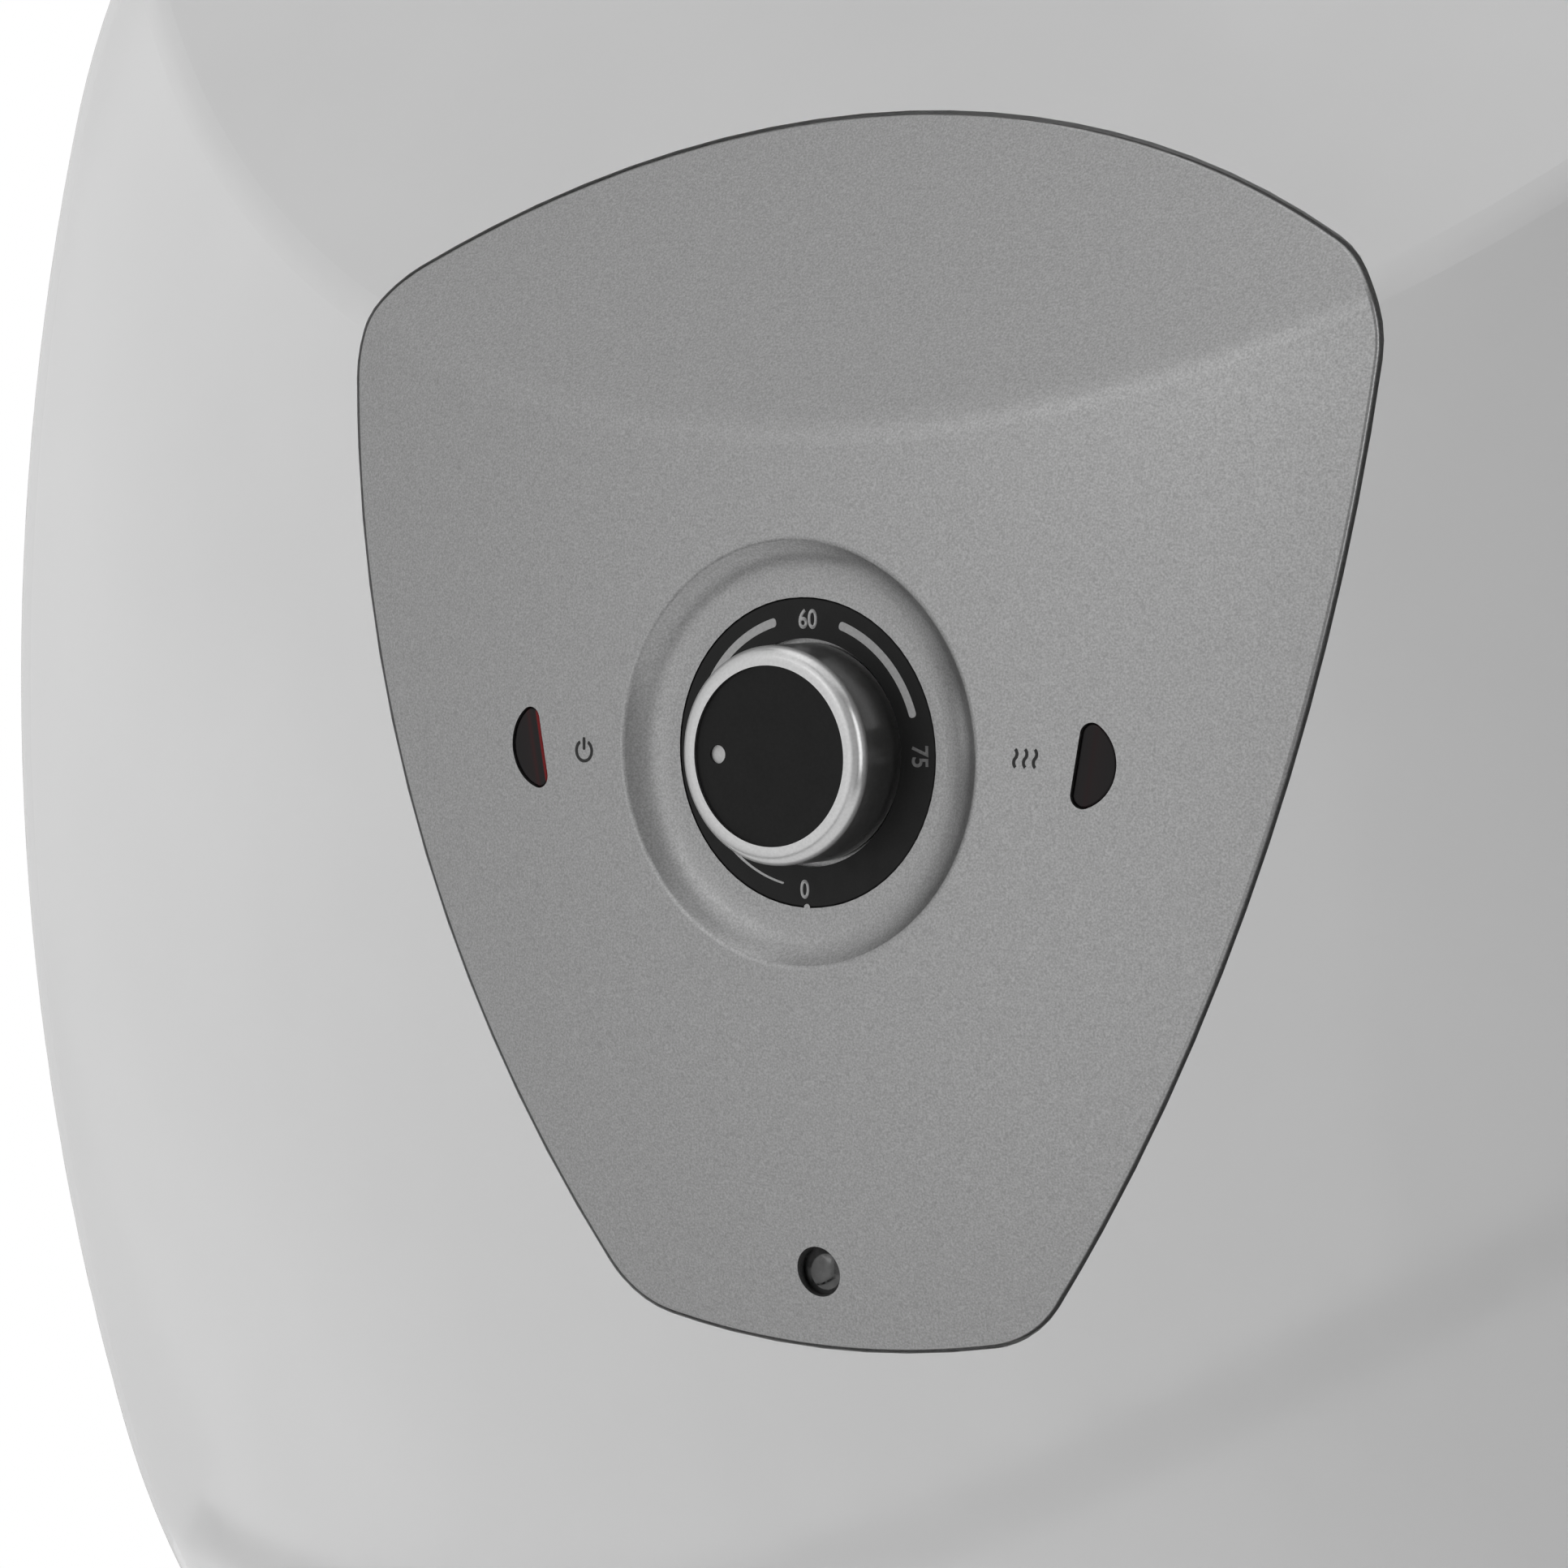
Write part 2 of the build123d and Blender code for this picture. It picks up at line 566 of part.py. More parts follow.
def lens_outline(grow):
    """D-shaped outline of a lamp lens about its own centre, flat side towards the knob."""
    flat = -LENS_FLAT - grow
    half = LENS_HALF_CHORD + grow
    face = make_face([
        ThreePointArc((flat, -half), (LENS_BULGE + grow, 0), (flat, half)),
        Line((flat, half), (flat, -half)),
    ])
    return Rot(0, 0, -LAMP_LEAN) * fillet(face.vertices(), LENS_CORNER_R + grow)


def lens_prism(grow, y0, y1):
    """Right-hand lens outline, from y0 (nearer the front) to y1."""
    return extrude(front_plane(LAMP_X, y1, KNOB_Z - LAMP_DROP) * lens_outline(grow), y1 - y0)


def panel_hook(side):
    """Hook behind the panel's top that slips under the ledge."""
    x0 = side * PANEL_HOOK_X - PANEL_HOOK_W / 2
    x1 = x0 + PANEL_HOOK_W
    under = PANEL_THICK + FIT + LEDGE_THICK + FIT
    stem = brow_block(x0, x1, HOOK_UP - PANEL_HOOK_STEM, HOOK_UP, PANEL_THICK - 0.6, under + PANEL_HOOK_T)
    nose_up = HOOK_UP + PANEL_HOOK_REACH
    nose = brow_block(x0, x1, HOOK_UP - PANEL_HOOK_STEM, nose_up, under, under + PANEL_HOOK_T)
    return stem + nose


def is_panel_rim(face):
    """True for a face that runs round the edge of the bare panel."""
    return abs(face.normal_at().Y) < 1e-4


def control_panel():
    """Shield-shaped cover of the wiring space, with the dish, lamp windows, well and hooks."""
    skin = face_form(0.0) - face_form(PANEL_THICK)
    skin &= shield_prism(0.0, FRONT_Y - 1, FRONT_Y + CELL_DEPTH)
    front_rim = []
    for face in skin.faces().filter_by(is_panel_rim):
        in_front = face.edges().filter_by(lambda e: e.center().Y < face.center().Y)
        front_rim += [e for e in in_front if abs(e.tangent_at(0.5).Y) < 0.9]
    skin = fillet(front_rim, PANEL_EDGE_R)
    back_y = DIAL_Y + RING_THICK + KNOB_FLOOR_GAP + DISH_BACK
    skin += post(0, FRONT_Y + PANEL_THICK, back_y, KNOB_Z, DISH_R)
    skin -= dish_cut()
    skin = fillet(skin.edges().filter_by(is_dish_lip), DISH_LIP_R)
    skin -= post(0, DIAL_Y - 1, DIAL_Y + RING_THICK, KNOB_Z, RING_R + FIT / 2)
    skin += post(0, DIAL_Y, DIAL_Y + RING_THICK + 0.5, KNOB_Z - RING_R, RING_PIP_R)
    skin -= post(0, DIAL_Y - 1, back_y - DISH_BACK, KNOB_Z, RING_HOLE_R)
    skin -= post(0, DIAL_Y - 1, back_y + 1, KNOB_Z, STEM_HOLE_R)
    window = lens_prism(LENS_GAP, FRONT_Y - 1, FRONT_Y + CELL_DEPTH)
    skin -= window
    skin -= mirror_x(window)
    screw_z = KNOB_Z - PANEL_SCREW_DROP
    well_back = PANEL_SCREW_SEAT_Y + PANEL_WELL_FLOOR
    well = post(0, FRONT_Y, well_back, screw_z, PANEL_SCREW_WELL_R + PANEL_WELL_FLOOR)
    skin += well & face_form(PANEL_THICK / 2)
    skin -= post(0, FRONT_Y - 1, PANEL_SCREW_SEAT_Y, screw_z, PANEL_SCREW_WELL_R)
    skin -= post(0, FRONT_Y - 1, well_back + 1, screw_z, PANEL_SCREW_R + FIT)
    for side in (-1, 1):
        skin += panel_hook(side)
    return skin


def panel_screw():
    """Self-tapping screw with a smooth domed head."""
    z = KNOB_Z - PANEL_SCREW_DROP
    head_y = PANEL_SCREW_SEAT_Y - PANEL_SCREW_HEAD_H
    profile = make_face([
        TangentArc((0, 0), (PANEL_SCREW_HEAD_R, PANEL_SCREW_DOME_H), tangent=(1, 0)),
        Line((PANEL_SCREW_HEAD_R, PANEL_SCREW_DOME_H), (PANEL_SCREW_HEAD_R, PANEL_SCREW_HEAD_H)),
        Line((PANEL_SCREW_HEAD_R, PANEL_SCREW_HEAD_H), (0, PANEL_SCREW_HEAD_H)),
        Line((0, PANEL_SCREW_HEAD_H), (0, 0)),
    ])
    head = revolve(Pos(0, head_y, z) * profile, Axis((0, head_y, z), (0, 1, 0)))
    shaft = post(0, PANEL_SCREW_SEAT_Y - 0.5, PANEL_SCREW_SEAT_Y + PANEL_SCREW_LENGTH, z, PANEL_SCREW_R)
    shaft = chamfer(shaft.edges().sort_by(Axis.Y)[-1], PANEL_SCREW_R * 0.7)
    return head + shaft


def dial_ring():
    """Flat black ring that carries the scale, with a locating notch at its foot."""
    ring = post(0, DIAL_Y, DIAL_Y + RING_THICK, KNOB_Z, RING_R)
    ring = chamfer(ring.edges().sort_by(Axis.Y)[0], RING_THICK / 5)
    ring -= post(0, DIAL_Y - 1, DIAL_Y + RING_THICK + 1, KNOB_Z, RING_HOLE_R)
    return ring - post(0, DIAL_Y - 1, DIAL_Y + RING_THICK + 1, KNOB_Z - RING_R, RING_NOTCH_R)


# ---- knob ----
def knob_body():
    """Cup-shaped knob with a rounded face edge, a seat for its disc and a D-bored stem."""
    rim_y = DIAL_Y + RING_THICK
    seat_y = KNOB_FACE_Y + DISC_SINK + DISC_THICK
    body = post(0, KNOB_FACE_Y, rim_y, KNOB_Z, KNOB_R)
    body = fillet(body.edges().sort_by(Axis.Y)[0], KNOB_EDGE_R)
    body -= post(0, seat_y + KNOB_WALL, rim_y + 1, KNOB_Z, KNOB_R - KNOB_WALL)
    body += post(0, seat_y + KNOB_WALL - 0.5, STEM_END_Y, KNOB_Z, KNOB_STEM_R)
    for angle in range(0, 360, 90):
        rib = Rot(0, angle, 0) * block(KNOB_STEM_R - 1, KNOB_R - KNOB_WALL / 2, 0, RIB_DEPTH, -0.6, 0.6)
        body += Pos(0, seat_y + KNOB_WALL - 0.5, KNOB_Z) * rib
    body -= post(0, KNOB_FACE_Y - 1, seat_y, KNOB_Z, DISC_R)
    bore = post(0, SPINDLE_TIP_Y - FIT, STEM_END_Y + 1, KNOB_Z, SPINDLE_R + SPINDLE_FIT)
    flat_z = KNOB_Z + SPINDLE_R - SPINDLE_FLAT + SPINDLE_FIT
    bore -= block(-FAR, FAR, -FAR, 0, flat_z, FAR)
    body -= bore
    groove = post(0, CLIP_Y, CLIP_Y + CLIP_WIRE, KNOB_Z, KNOB_STEM_R + 1)
    groove -= post(0, CLIP_Y - 1, CLIP_Y + CLIP_WIRE + 1, KNOB_Z, KNOB_STEM_R - CLIP_WIRE / 2)
    return body - groove


def knob_disc():
    """Black disc set in the knob's face, with a dimple for the pointer."""
    face_y = KNOB_FACE_Y + DISC_SINK
    disc = post(0, face_y, face_y + DISC_THICK, KNOB_Z, DISC_R - FIT / 4)
    return disc - post(-POINTER_AT, KNOB_FACE_Y, face_y + DIMPLE_DEPTH, KNOB_Z, POINTER_R)


def knob_pointer():
    """White dot in the disc that points at the scale."""
    face_y = KNOB_FACE_Y + DISC_SINK
    return post(-POINTER_AT, face_y + POINTER_SINK, face_y + DIMPLE_DEPTH, KNOB_Z, POINTER_R)


def knob_clip():
    """Open spring ring in the stem's groove."""
    clip = post(0, CLIP_Y, CLIP_Y + CLIP_WIRE, KNOB_Z, KNOB_STEM_R + CLIP_WIRE / 2)
    clip -= post(0, CLIP_Y - 1, CLIP_Y + 2, KNOB_Z, KNOB_STEM_R - CLIP_WIRE / 2)
    mouth = block(-KNOB_STEM_R / 2, KNOB_STEM_R / 2, CLIP_Y - 1, CLIP_Y + 2, KNOB_Z - KNOB_R, KNOB_Z)
    return clip - mouth


# ---- lamps ----
def lamp_lens():
    """Right-hand lens: a D-shaped window with a flange behind the panel."""
    back_y = FRONT_Y + LENS_DEPTH + PANEL_THICK
    lens = lens_prism(0.0, FRONT_Y - 1, back_y) & face_form(LENS_SINK)
    front = lens.faces().sort_by(Axis.Y)[0]
    lens = fillet(front.edges(), LENS_EDGE_R)
    flange = lens_prism(LENS_GAP + LENS_FLANGE, FRONT_Y, back_y) & face_form(PANEL_THICK + FIT)
    return lens + flange


def lamp_holder():
    """Right-hand sleeve that clips the neon lamp behind its lens."""
    y0 = FRONT_Y + LENS_DEPTH + PANEL_THICK
    y1 = y0 + HOLDER_LENGTH
    sleeve = post(LAMP_X, y0, y1, LAMP_Z, NEON_R + HOLDER_WALL)
    return sleeve - post(LAMP_X, y0 - 1, y1 + 1, LAMP_Z, NEON_R)


def neon_lamp():
    """Right-hand neon lamp: a glass tube with a rounded tip."""
    y0 = FRONT_Y + LENS_DEPTH + PANEL_THICK + FIT
    tube = post(LAMP_X, y0, y0 + NEON_LENGTH, LAMP_Z, NEON_R)
    return fillet(tube.edges().sort_by(Axis.Y)[0], NEON_R * 0.8)


def both_sides(piece):
    """A right-hand piece and its left-hand copy, as two separate solids."""
    return Compound(children=[piece, mirror_x(piece)])


# ---- thermostat ----
def thermostat_housing():
    """Moulded housing with the spindle's bearing and the reset button's chamber."""
    half = THERMO_W / 2
    body = block(-half, half, THERMO_Y, THERMO_BACK_Y, THERMO_Z - THERMO_H / 2, THERMO_Z + THERMO_H / 2)
    body = fillet(body.edges().filter_by(Axis.Y), THERMO_EDGE_R)
    for drop in (0.0, LIMITER_DROP):
        foot = post(0, THERMO_BACK_Y, FLANGE_Y, KNOB_Z - drop, THERMO_FOOT_R)
        body += foot - post(0, THERMO_BACK_Y, FLANGE_Y, KNOB_Z - drop, ROD_R)
    end_y = THERMO_Y + SPINDLE_BURIED
    bearing_r = SPINDLE_R + SPINDLE_RUN
    body -= post(0, THERMO_Y - 1, end_y + FIT, KNOB_Z, bearing_r)
    collar_y = THERMO_Y + SPINDLE_BURIED / 2
    body -= post(0, collar_y - FIT, collar_y + SPINDLE_COLLAR_T + FIT, KNOB_Z, SPINDLE_COLLAR_R + FIT)
    chamber_y = THERMO_Y + RESET_GUIDE
    body -= post(RESET_X, THERMO_Y - 1, chamber_y + 1, RESET_Z, RESET_R + RESET_GAP)
    body -= post(RESET_X, chamber_y, chamber_y + RESET_CHAMBER, RESET_Z, RESET_CHAMBER_R)
    return body


def thermostat_spindle():
    """Steel spindle: D-shaped where the knob sits, with a collar inside the housing."""
    spindle = post(0, SPINDLE_TIP_Y, THERMO_Y + SPINDLE_BURIED, KNOB_Z, SPINDLE_R)
    spindle = chamfer(spindle.edges().sort_by(Axis.Y)[0], 0.4)
    flat_z = KNOB_Z + SPINDLE_R - SPINDLE_FLAT
    spindle -= block(-FAR, FAR, SPINDLE_TIP_Y - 1, STEM_END_Y + 1, flat_z, flat_z + SPINDLE_R)
    collar_y = THERMO_Y + SPINDLE_BURIED / 2
    return spindle + post(0, collar_y, collar_y + SPINDLE_COLLAR_T, KNOB_Z, SPINDLE_COLLAR_R)


def thermostat_rods(length, drop):
    """Sensing rod from the housing's back into its pocket."""
    rod = post(0, THERMO_BACK_Y, FLANGE_Y + length, KNOB_Z - drop, ROD_R)
    return fillet(rod.edges().sort_by(Axis.Y)[-1], ROD_R * 0.6)


def thermostat_tabs():
    """Four spade terminals under the housing."""
    tabs = []
    z1 = THERMO_Z - THERMO_H / 2
    for side in (-1, 1):
        for row in range(2):
            y = THERMO_Y + TAB_FROM_FRONT + row * TAB_PITCH
            x0 = side * TAB_X - TAB_W / 2
            tab = block(x0, x0 + TAB_W, y - TAB_T / 2, y + TAB_T / 2, z1 - TAB_LENGTH, z1)
            tab = chamfer(tab.edges().filter_by(Axis.Y).sort_by(Axis.Z)[:2], TAB_W / 5)
            tabs.append(tab)
    return Compound(children=tabs)


def reset_button():
    """Push button of the thermal cut-out, with a collar that keeps it in its chamber."""
    collar_y = THERMO_Y + RESET_GUIDE + RESET_GAP
    button = post(RESET_X, THERMO_Y - RESET_HEAD, collar_y + RESET_COLLAR_T, RESET_Z, RESET_R)
    button = fillet(button.edges().sort_by(Axis.Y)[0], RESET_R / 5)
    button += post(RESET_X, collar_y, collar_y + RESET_COLLAR_T, RESET_Z, RESET_COLLAR_R)
    return button


def reset_spring():
    """Coil spring between the button's collar and the chamber's end."""
    y0 = THERMO_Y + RESET_GUIDE + RESET_GAP + RESET_COLLAR_T + SPRING_WIRE_R
    y1 = THERMO_Y + RESET_GUIDE + RESET_CHAMBER - SPRING_WIRE_R
    coil = Helix((y1 - y0) / SPRING_COILS, y1 - y0, SPRING_R)
    wire = sweep(Plane(coil @ 0, z_dir=coil % 0) * Circle(SPRING_WIRE_R), coil)
    return front_plane(RESET_X, y1, RESET_Z) * wire


# ---- tank ----
def tank_form(offset):
    """The tank as a full solid of revolution about its own axis, let out by offset."""
    r = TANK_R + offset
    depth = TANK_HEAD_DEPTH + offset
    knuckle = TANK_KNUCKLE_R + offset
    crown = ((r - knuckle) ** 2 + depth**2 - knuckle**2) / (2 * (depth - knuckle))
    turn = asin((r - knuckle) / (crown - knuckle))
    half = (TANK_REAR_Y - TANK_FRONT_Y) / 2 + offset
    shoulder = half - depth
    crown_mid = (crown * sin(turn / 2), half - crown * (1 - cos(turn / 2)))
    join = (crown * sin(turn), half - crown * (1 - cos(turn)))
    bend = radians(90) - (radians(90) - turn) / 2
    knuckle_mid = (r - knuckle + knuckle * sin(bend), shoulder + knuckle * cos(bend) - knuckle + knuckle)
    top = [
        ThreePointArc((0, half), crown_mid, join),
        ThreePointArc(join, knuckle_mid, (r, shoulder)),
    ]
    foot = [mirror(edge, about=Plane.XZ) for edge in top]
    side = Line((r, shoulder), (r, -shoulder))
    axis = Line((0, -half), (0, half))
    return Pos(0, TANK_MID_Y, CASE_Z) * revolve(make_face(top + foot + [side, axis]), Axis.Y)


@lru_cache
def tank_shell():
    """Both heads together, before they are parted at the weld."""
    return tank_form(0.0) - tank_form(-TANK_WALL)


def tank_front_head():
    """Front half of the tank, with the opening under the neck."""
    head = tank_shell() & block(-FAR, FAR, TANK_FRONT_Y - 1, TANK_MID_Y, -FAR, FAR)
    return head - post(0, NECK_Y, TANK_FRONT_Y + TANK_HEAD_DEPTH, KNOB_Z, NECK_BORE_R)


def tank_rear_head():
    """Rear half of the tank, with the holes for the two nipples."""
    head = tank_shell() & block(-FAR, FAR, TANK_MID_Y, 0, -FAR, FAR)
    for side in (-1, 1):
        pipe_x = side * NIPPLE_SPACING / 2
        head -= drum(pipe_x, NIPPLE_Y, CASE_Z - CASE_HALF, CASE_Z - TANK_R / 2, NIPPLE_TUBE_R)
    return head


def girth_weld():
    """Weld band round the middle of the tank."""
    y0 = TANK_MID_Y - WELD_BAND_W / 2
    y1 = TANK_MID_Y + WELD_BAND_W / 2
    band = post(0, y0, y1, CASE_Z, TANK_R + WELD_BAND_T) - post(0, y0 - 1, y1 + 1, CASE_Z, TANK_R)
    rounds = band.edges().filter_by(GeomType.CIRCLE)
    return chamfer(rounds.filter_by(lambda e: e.radius > TANK_R + WELD_BAND_T / 2), WELD_BAND_T * 0.6)


def bolt_places():
    """x and z of the studs round the flange."""
    turns = [radians(90 + 360 / FLANGE_BOLTS * i) for i in range(FLANGE_BOLTS)]
    return [(FLANGE_BOLT_PCD / 2 * cos(turn), KNOB_Z + FLANGE_BOLT_PCD / 2 * sin(turn)) for turn in turns]


def flange_neck():
    """Thick ring welded on the front head, bored for the studs."""
    neck = post(0, NECK_Y, TANK_FRONT_Y + TANK_HEAD_DEPTH, KNOB_Z, NECK_R) - tank_form(0.0)
    neck -= post(0, NECK_Y - 1, TANK_FRONT_Y + TANK_HEAD_DEPTH, KNOB_Z, NECK_BORE_R)
    for x, z in bolt_places():
        neck -= post(x, NECK_Y - 1, NECK_Y + NECK_PROUD, z, STUD_R)
    return neck


def flange_gasket():
    """Rubber gasket between the neck and the flange."""
    gasket = post(0, FLANGE_BACK_Y, NECK_Y, KNOB_Z, GASKET_R)
    return gasket - post(0, FLANGE_BACK_Y - 1, NECK_Y + 1, KNOB_Z, NECK_BORE_R - 2)


def flange_studs():
    """Studs in the neck that the flange slips over."""
    studs = []
    for x, z in bolt_places():
        stud = post(x, NECK_Y + NECK_PROUD - STUD_LENGTH, NECK_Y + NECK_PROUD, z, STUD_R)
        studs.append(chamfer(stud.edges().sort_by(Axis.Y)[0], STUD_R / 5))
    return Compound(children=studs)


def nut(x, y0, height, z, flats, bore_r):
    """Plain hexagon nut along Y with its face at y0."""
    body = hexagon(x, y0, y0 + height, z, flats)
    body &= chamfer(post(x, y0, y0 + height, z, flats * 0.56).edges().sort_by(Axis.Y)[0], flats * 0.05)
    return body - post(x, y0 - 1, y0 + height + 1, z, bore_r)


def flange_nuts():
    """Nuts that pull the flange onto its gasket."""
    nuts = [nut(x, FLANGE_Y - NUT_H, NUT_H, z, NUT_FLATS, STUD_R) for x, z in bolt_places()]
    return Compound(children=nuts)


def heater_flange():
    """Plate that closes the tank and carries the element, the pockets, the anode and the earth stud."""
    plate = post(0, FLANGE_Y, FLANGE_BACK_Y, KNOB_Z, FLANGE_R)
    plate = chamfer(plate.edges().sort_by(Axis.Y)[0], FLANGE_T / 5)
    for x, z in bolt_places():
        plate -= post(x, FLANGE_Y - 1, FLANGE_BACK_Y + 1, z, STUD_R + FIT)
    for side in (-1, 1):
        plate -= post(side * ELEMENT_HALF_SPAN, FLANGE_Y - 1, FLANGE_BACK_Y + 1, ELEMENT_Z, ELEMENT_TUBE_R)
    for drop in (0.0, LIMITER_DROP):
        plate -= post(0, FLANGE_Y - 1, FLANGE_BACK_Y + 1, KNOB_Z - drop, POCKET_R)
    plate -= post(0, FLANGE_Y - 1, FLANGE_BACK_Y + 1, KNOB_Z + ANODE_RISE, ANODE_STUD_R)
    plate += post(EARTH_X, FLANGE_Y - EARTH_STUD_LENGTH, FLANGE_BACK_Y, KNOB_Z + EARTH_RISE, EARTH_STUD_R)
    return plate


def sensor_pockets():
    """Two closed tubes brazed in the flange that keep the thermostat's rods dry."""
    tubes = []
    for drop in (0.0, LIMITER_DROP):
        end_y = FLANGE_Y + POCKET_LENGTH
        tube = post(0, FLANGE_Y, end_y, KNOB_Z - drop, POCKET_R)
        tube = fillet(tube.edges().sort_by(Axis.Y)[-1], POCKET_R * 0.6)
        bore = post(0, FLANGE_Y - 1, end_y - 2 * POCKET_WALL, KNOB_Z - drop, POCKET_R - POCKET_WALL)
        tubes.append(tube - bore)
    return Compound(children=tubes)


def heating_element():
    """Sheathed element: one tube out of the flange, down towards the tank's floor and back."""
    x = ELEMENT_HALF_SPAN
    root = FLANGE_BACK_Y + ELEMENT_ROOT
    low = ELEMENT_Z - ELEMENT_DROP
    leg = [
        (x, FLANGE_Y - ELEMENT_TAIL, ELEMENT_Z),
        (x, root, ELEMENT_Z),
        (x, root + ELEMENT_SLOPE_RUN, low),
        (x, FLANGE_Y + ELEMENT_REACH, low),
    ]
    points = leg + [(-px, py, pz) for px, py, pz in reversed(leg)]
    path = FilletPolyline(*points, radius=ELEMENT_BEND_R)
    return sweep(Plane(path @ 0, z_dir=path % 0) * Circle(ELEMENT_TUBE_R), path)


def element_pins():
    """Terminal pins in the two cold ends of the element."""
    y1 = FLANGE_Y - ELEMENT_TAIL
    return both_sides(post(ELEMENT_HALF_SPAN, y1 - ELEMENT_PIN_LENGTH, y1, ELEMENT_Z, ELEMENT_PIN_R))


def anode_rod():
    """Magnesium rod behind the flange."""
    y0 = FLANGE_BACK_Y + FIT
    rod = post(0, y0, y0 + ANODE_LENGTH, KNOB_Z + ANODE_RISE, ANODE_R)
    rod = fillet(rod.edges().filter_by(GeomType.CIRCLE), ANODE_R / 5)
    return rod - post(0, y0 - 1, y0 + ANODE_STUD_DEEP, KNOB_Z + ANODE_RISE, ANODE_STUD_R)


def anode_stud():
    """Stud cast into the anode, which passes through the flange."""
    y0 = FLANGE_Y - ANODE_NUT_H - ANODE_STUD_PROUD
    stud = post(0, y0, FLANGE_BACK_Y + FIT + ANODE_STUD_DEEP, KNOB_Z + ANODE_RISE, ANODE_STUD_R)
    return chamfer(stud.edges().sort_by(Axis.Y)[0], ANODE_STUD_R / 5)


# ---- water connections ----
def nipple():
    """Cold inlet: a steel tube through the tank's floor, threaded below the casing."""
    x = NIPPLE_SPACING / 2
    top = NIPPLE_TOP_Z
    pipe = drum(x, NIPPLE_Y, NIPPLE_FOOT_Z, NIPPLE_FOOT_Z + NIPPLE_THREAD, NIPPLE_R)
    pipe = chamfer(pipe.edges().sort_by(Axis.Z)[0], NIPPLE_CHAMFER)
    pipe += drum(x, NIPPLE_Y, NIPPLE_FOOT_Z + NIPPLE_THREAD, top, NIPPLE_TUBE_R)
    return pipe - drum(x, NIPPLE_Y, NIPPLE_FOOT_Z - 1, top + 1, NIPPLE_BORE_R)


def pipe_collar():
    """Coloured collar round the cold nipple, seated on the casing's foot."""
    x = NIPPLE_SPACING / 2
    sleeve_top = CASE_Z - CASE_HALF + CASE_WALL + COLLAR_SLEEVE
    face_z = CASE_Z - CASE_HALF - COLLAR_FACE
    face = drum(x, NIPPLE_Y, face_z, face_z + 2 * COLLAR_FACE + 2, COLLAR_R)
    face = fillet(face.edges().sort_by(Axis.Z)[0], COLLAR_FACE * 0.6)
    face -= case_prism(0.0, -FAR, 0)
    sleeve = drum(x, NIPPLE_Y, face_z + COLLAR_FACE / 2, sleeve_top, COLLAR_SLEEVE_R)
    return face + sleeve - drum(x, NIPPLE_Y, face_z - 1, sleeve_top + 1, NIPPLE_R + FIT)


def cold_diffuser():
    """Capped tube on the cold nipple that spreads the incoming water along the tank's floor."""
    x = NIPPLE_SPACING / 2
    z0 = NIPPLE_TOP_Z
    cap = drum(x, NIPPLE_Y, z0, z0 + DIFFUSER_H, DIFFUSER_R)
    cap = fillet(cap.edges().sort_by(Axis.Z)[-1], DIFFUSER_EDGE_R)
    foot = z0 - DIFFUSER_SPIGOT
    spigot = drum(x, NIPPLE_Y, foot, z0 + 1, NIPPLE_BORE_R)
    bore = drum(x, NIPPLE_Y, foot - 1, z0 + DIFFUSER_H - 2 * DIFFUSER_WALL, NIPPLE_BORE_R - DIFFUSER_WALL)
    cap = cap + spigot - bore
    half = DIFFUSER_SLOT_W / 2
    slot = block(0, 2 * DIFFUSER_R, -half, half, DIFFUSER_SLOT_FOOT, DIFFUSER_H - DIFFUSER_SLOT_TOP)
    for angle in range(0, 360, 90):
        cap -= Pos(x, NIPPLE_Y, z0) * Rot(0, 0, angle) * slot
    return cap


def hot_riser():
    """Stainless pipe from the hot nipple up to the tank's roof, with a foot flange."""
    x = -NIPPLE_SPACING / 2
    z0 = NIPPLE_TOP_Z
    roof = CASE_Z + sqrt((TANK_R - TANK_WALL) ** 2 - (NIPPLE_SPACING / 2 + RISER_R) ** 2)
    z1 = roof - RISER_TOP_GAP
    foot = z0 - RISER_SPIGOT
    pipe = drum(x, NIPPLE_Y, foot, z1, RISER_R) + drum(x, NIPPLE_Y, z0, z0 + RISER_FLANGE_T, NIPPLE_TUBE_R)
    pipe += drum(x, NIPPLE_Y, foot, z0, NIPPLE_BORE_R)
    return pipe - drum(x, NIPPLE_Y, foot - 1, z1 + 1, RISER_R - RISER_WALL)


# ---- cable entry ----
def cable_gland():
    """Gland body: domed head under the casing and a threaded tube through it."""
    foot = GLAND_SPOT_Z - GLAND_HEAD_H
    head = drum(GLAND_X, GLAND_Y, foot, GLAND_SPOT_Z, GLAND_HEAD_R)
    head = fillet(head.edges().sort_by(Axis.Z)[0], GLAND_HEAD_H * 0.4)
    body = head + drum(GLAND_X, GLAND_Y, GLAND_SPOT_Z - 1, GLAND_SPOT_Z + GLAND_BODY, GLAND_R)
    return body - drum(GLAND_X, GLAND_Y, foot - 1, GLAND_SPOT_Z + GLAND_BODY + 1, GLAND_BORE_R)


def gland_nut():
    """Lock nut of the gland, inside the casing."""
    z0 = GLAND_SPOT_Z + CASE_WALL
    outline = RegularPolygon(GLAND_NUT_FLATS / 2, 6, major_radius=False)
    ring = extrude(Pos(GLAND_X, GLAND_Y, z0) * outline, GLAND_NUT_H)
    return ring - drum(GLAND_X, GLAND_Y, z0 - 1, z0 + GLAND_NUT_H + 1, GLAND_R)


# ---- wall bracket ----
def leg_block(shrink):
    """Right-hand leg of the bracket as a full block, pulled in by shrink."""
    half_w = BRACKET_LEG_W / 2 - shrink
    half_h = BRACKET_LEG_H / 2 - shrink
    return block(BRACKET_LEG_X - half_w, BRACKET_LEG_X + half_w, TANK_MID_Y, 1 - BRACKET_T, -half_h, half_h)


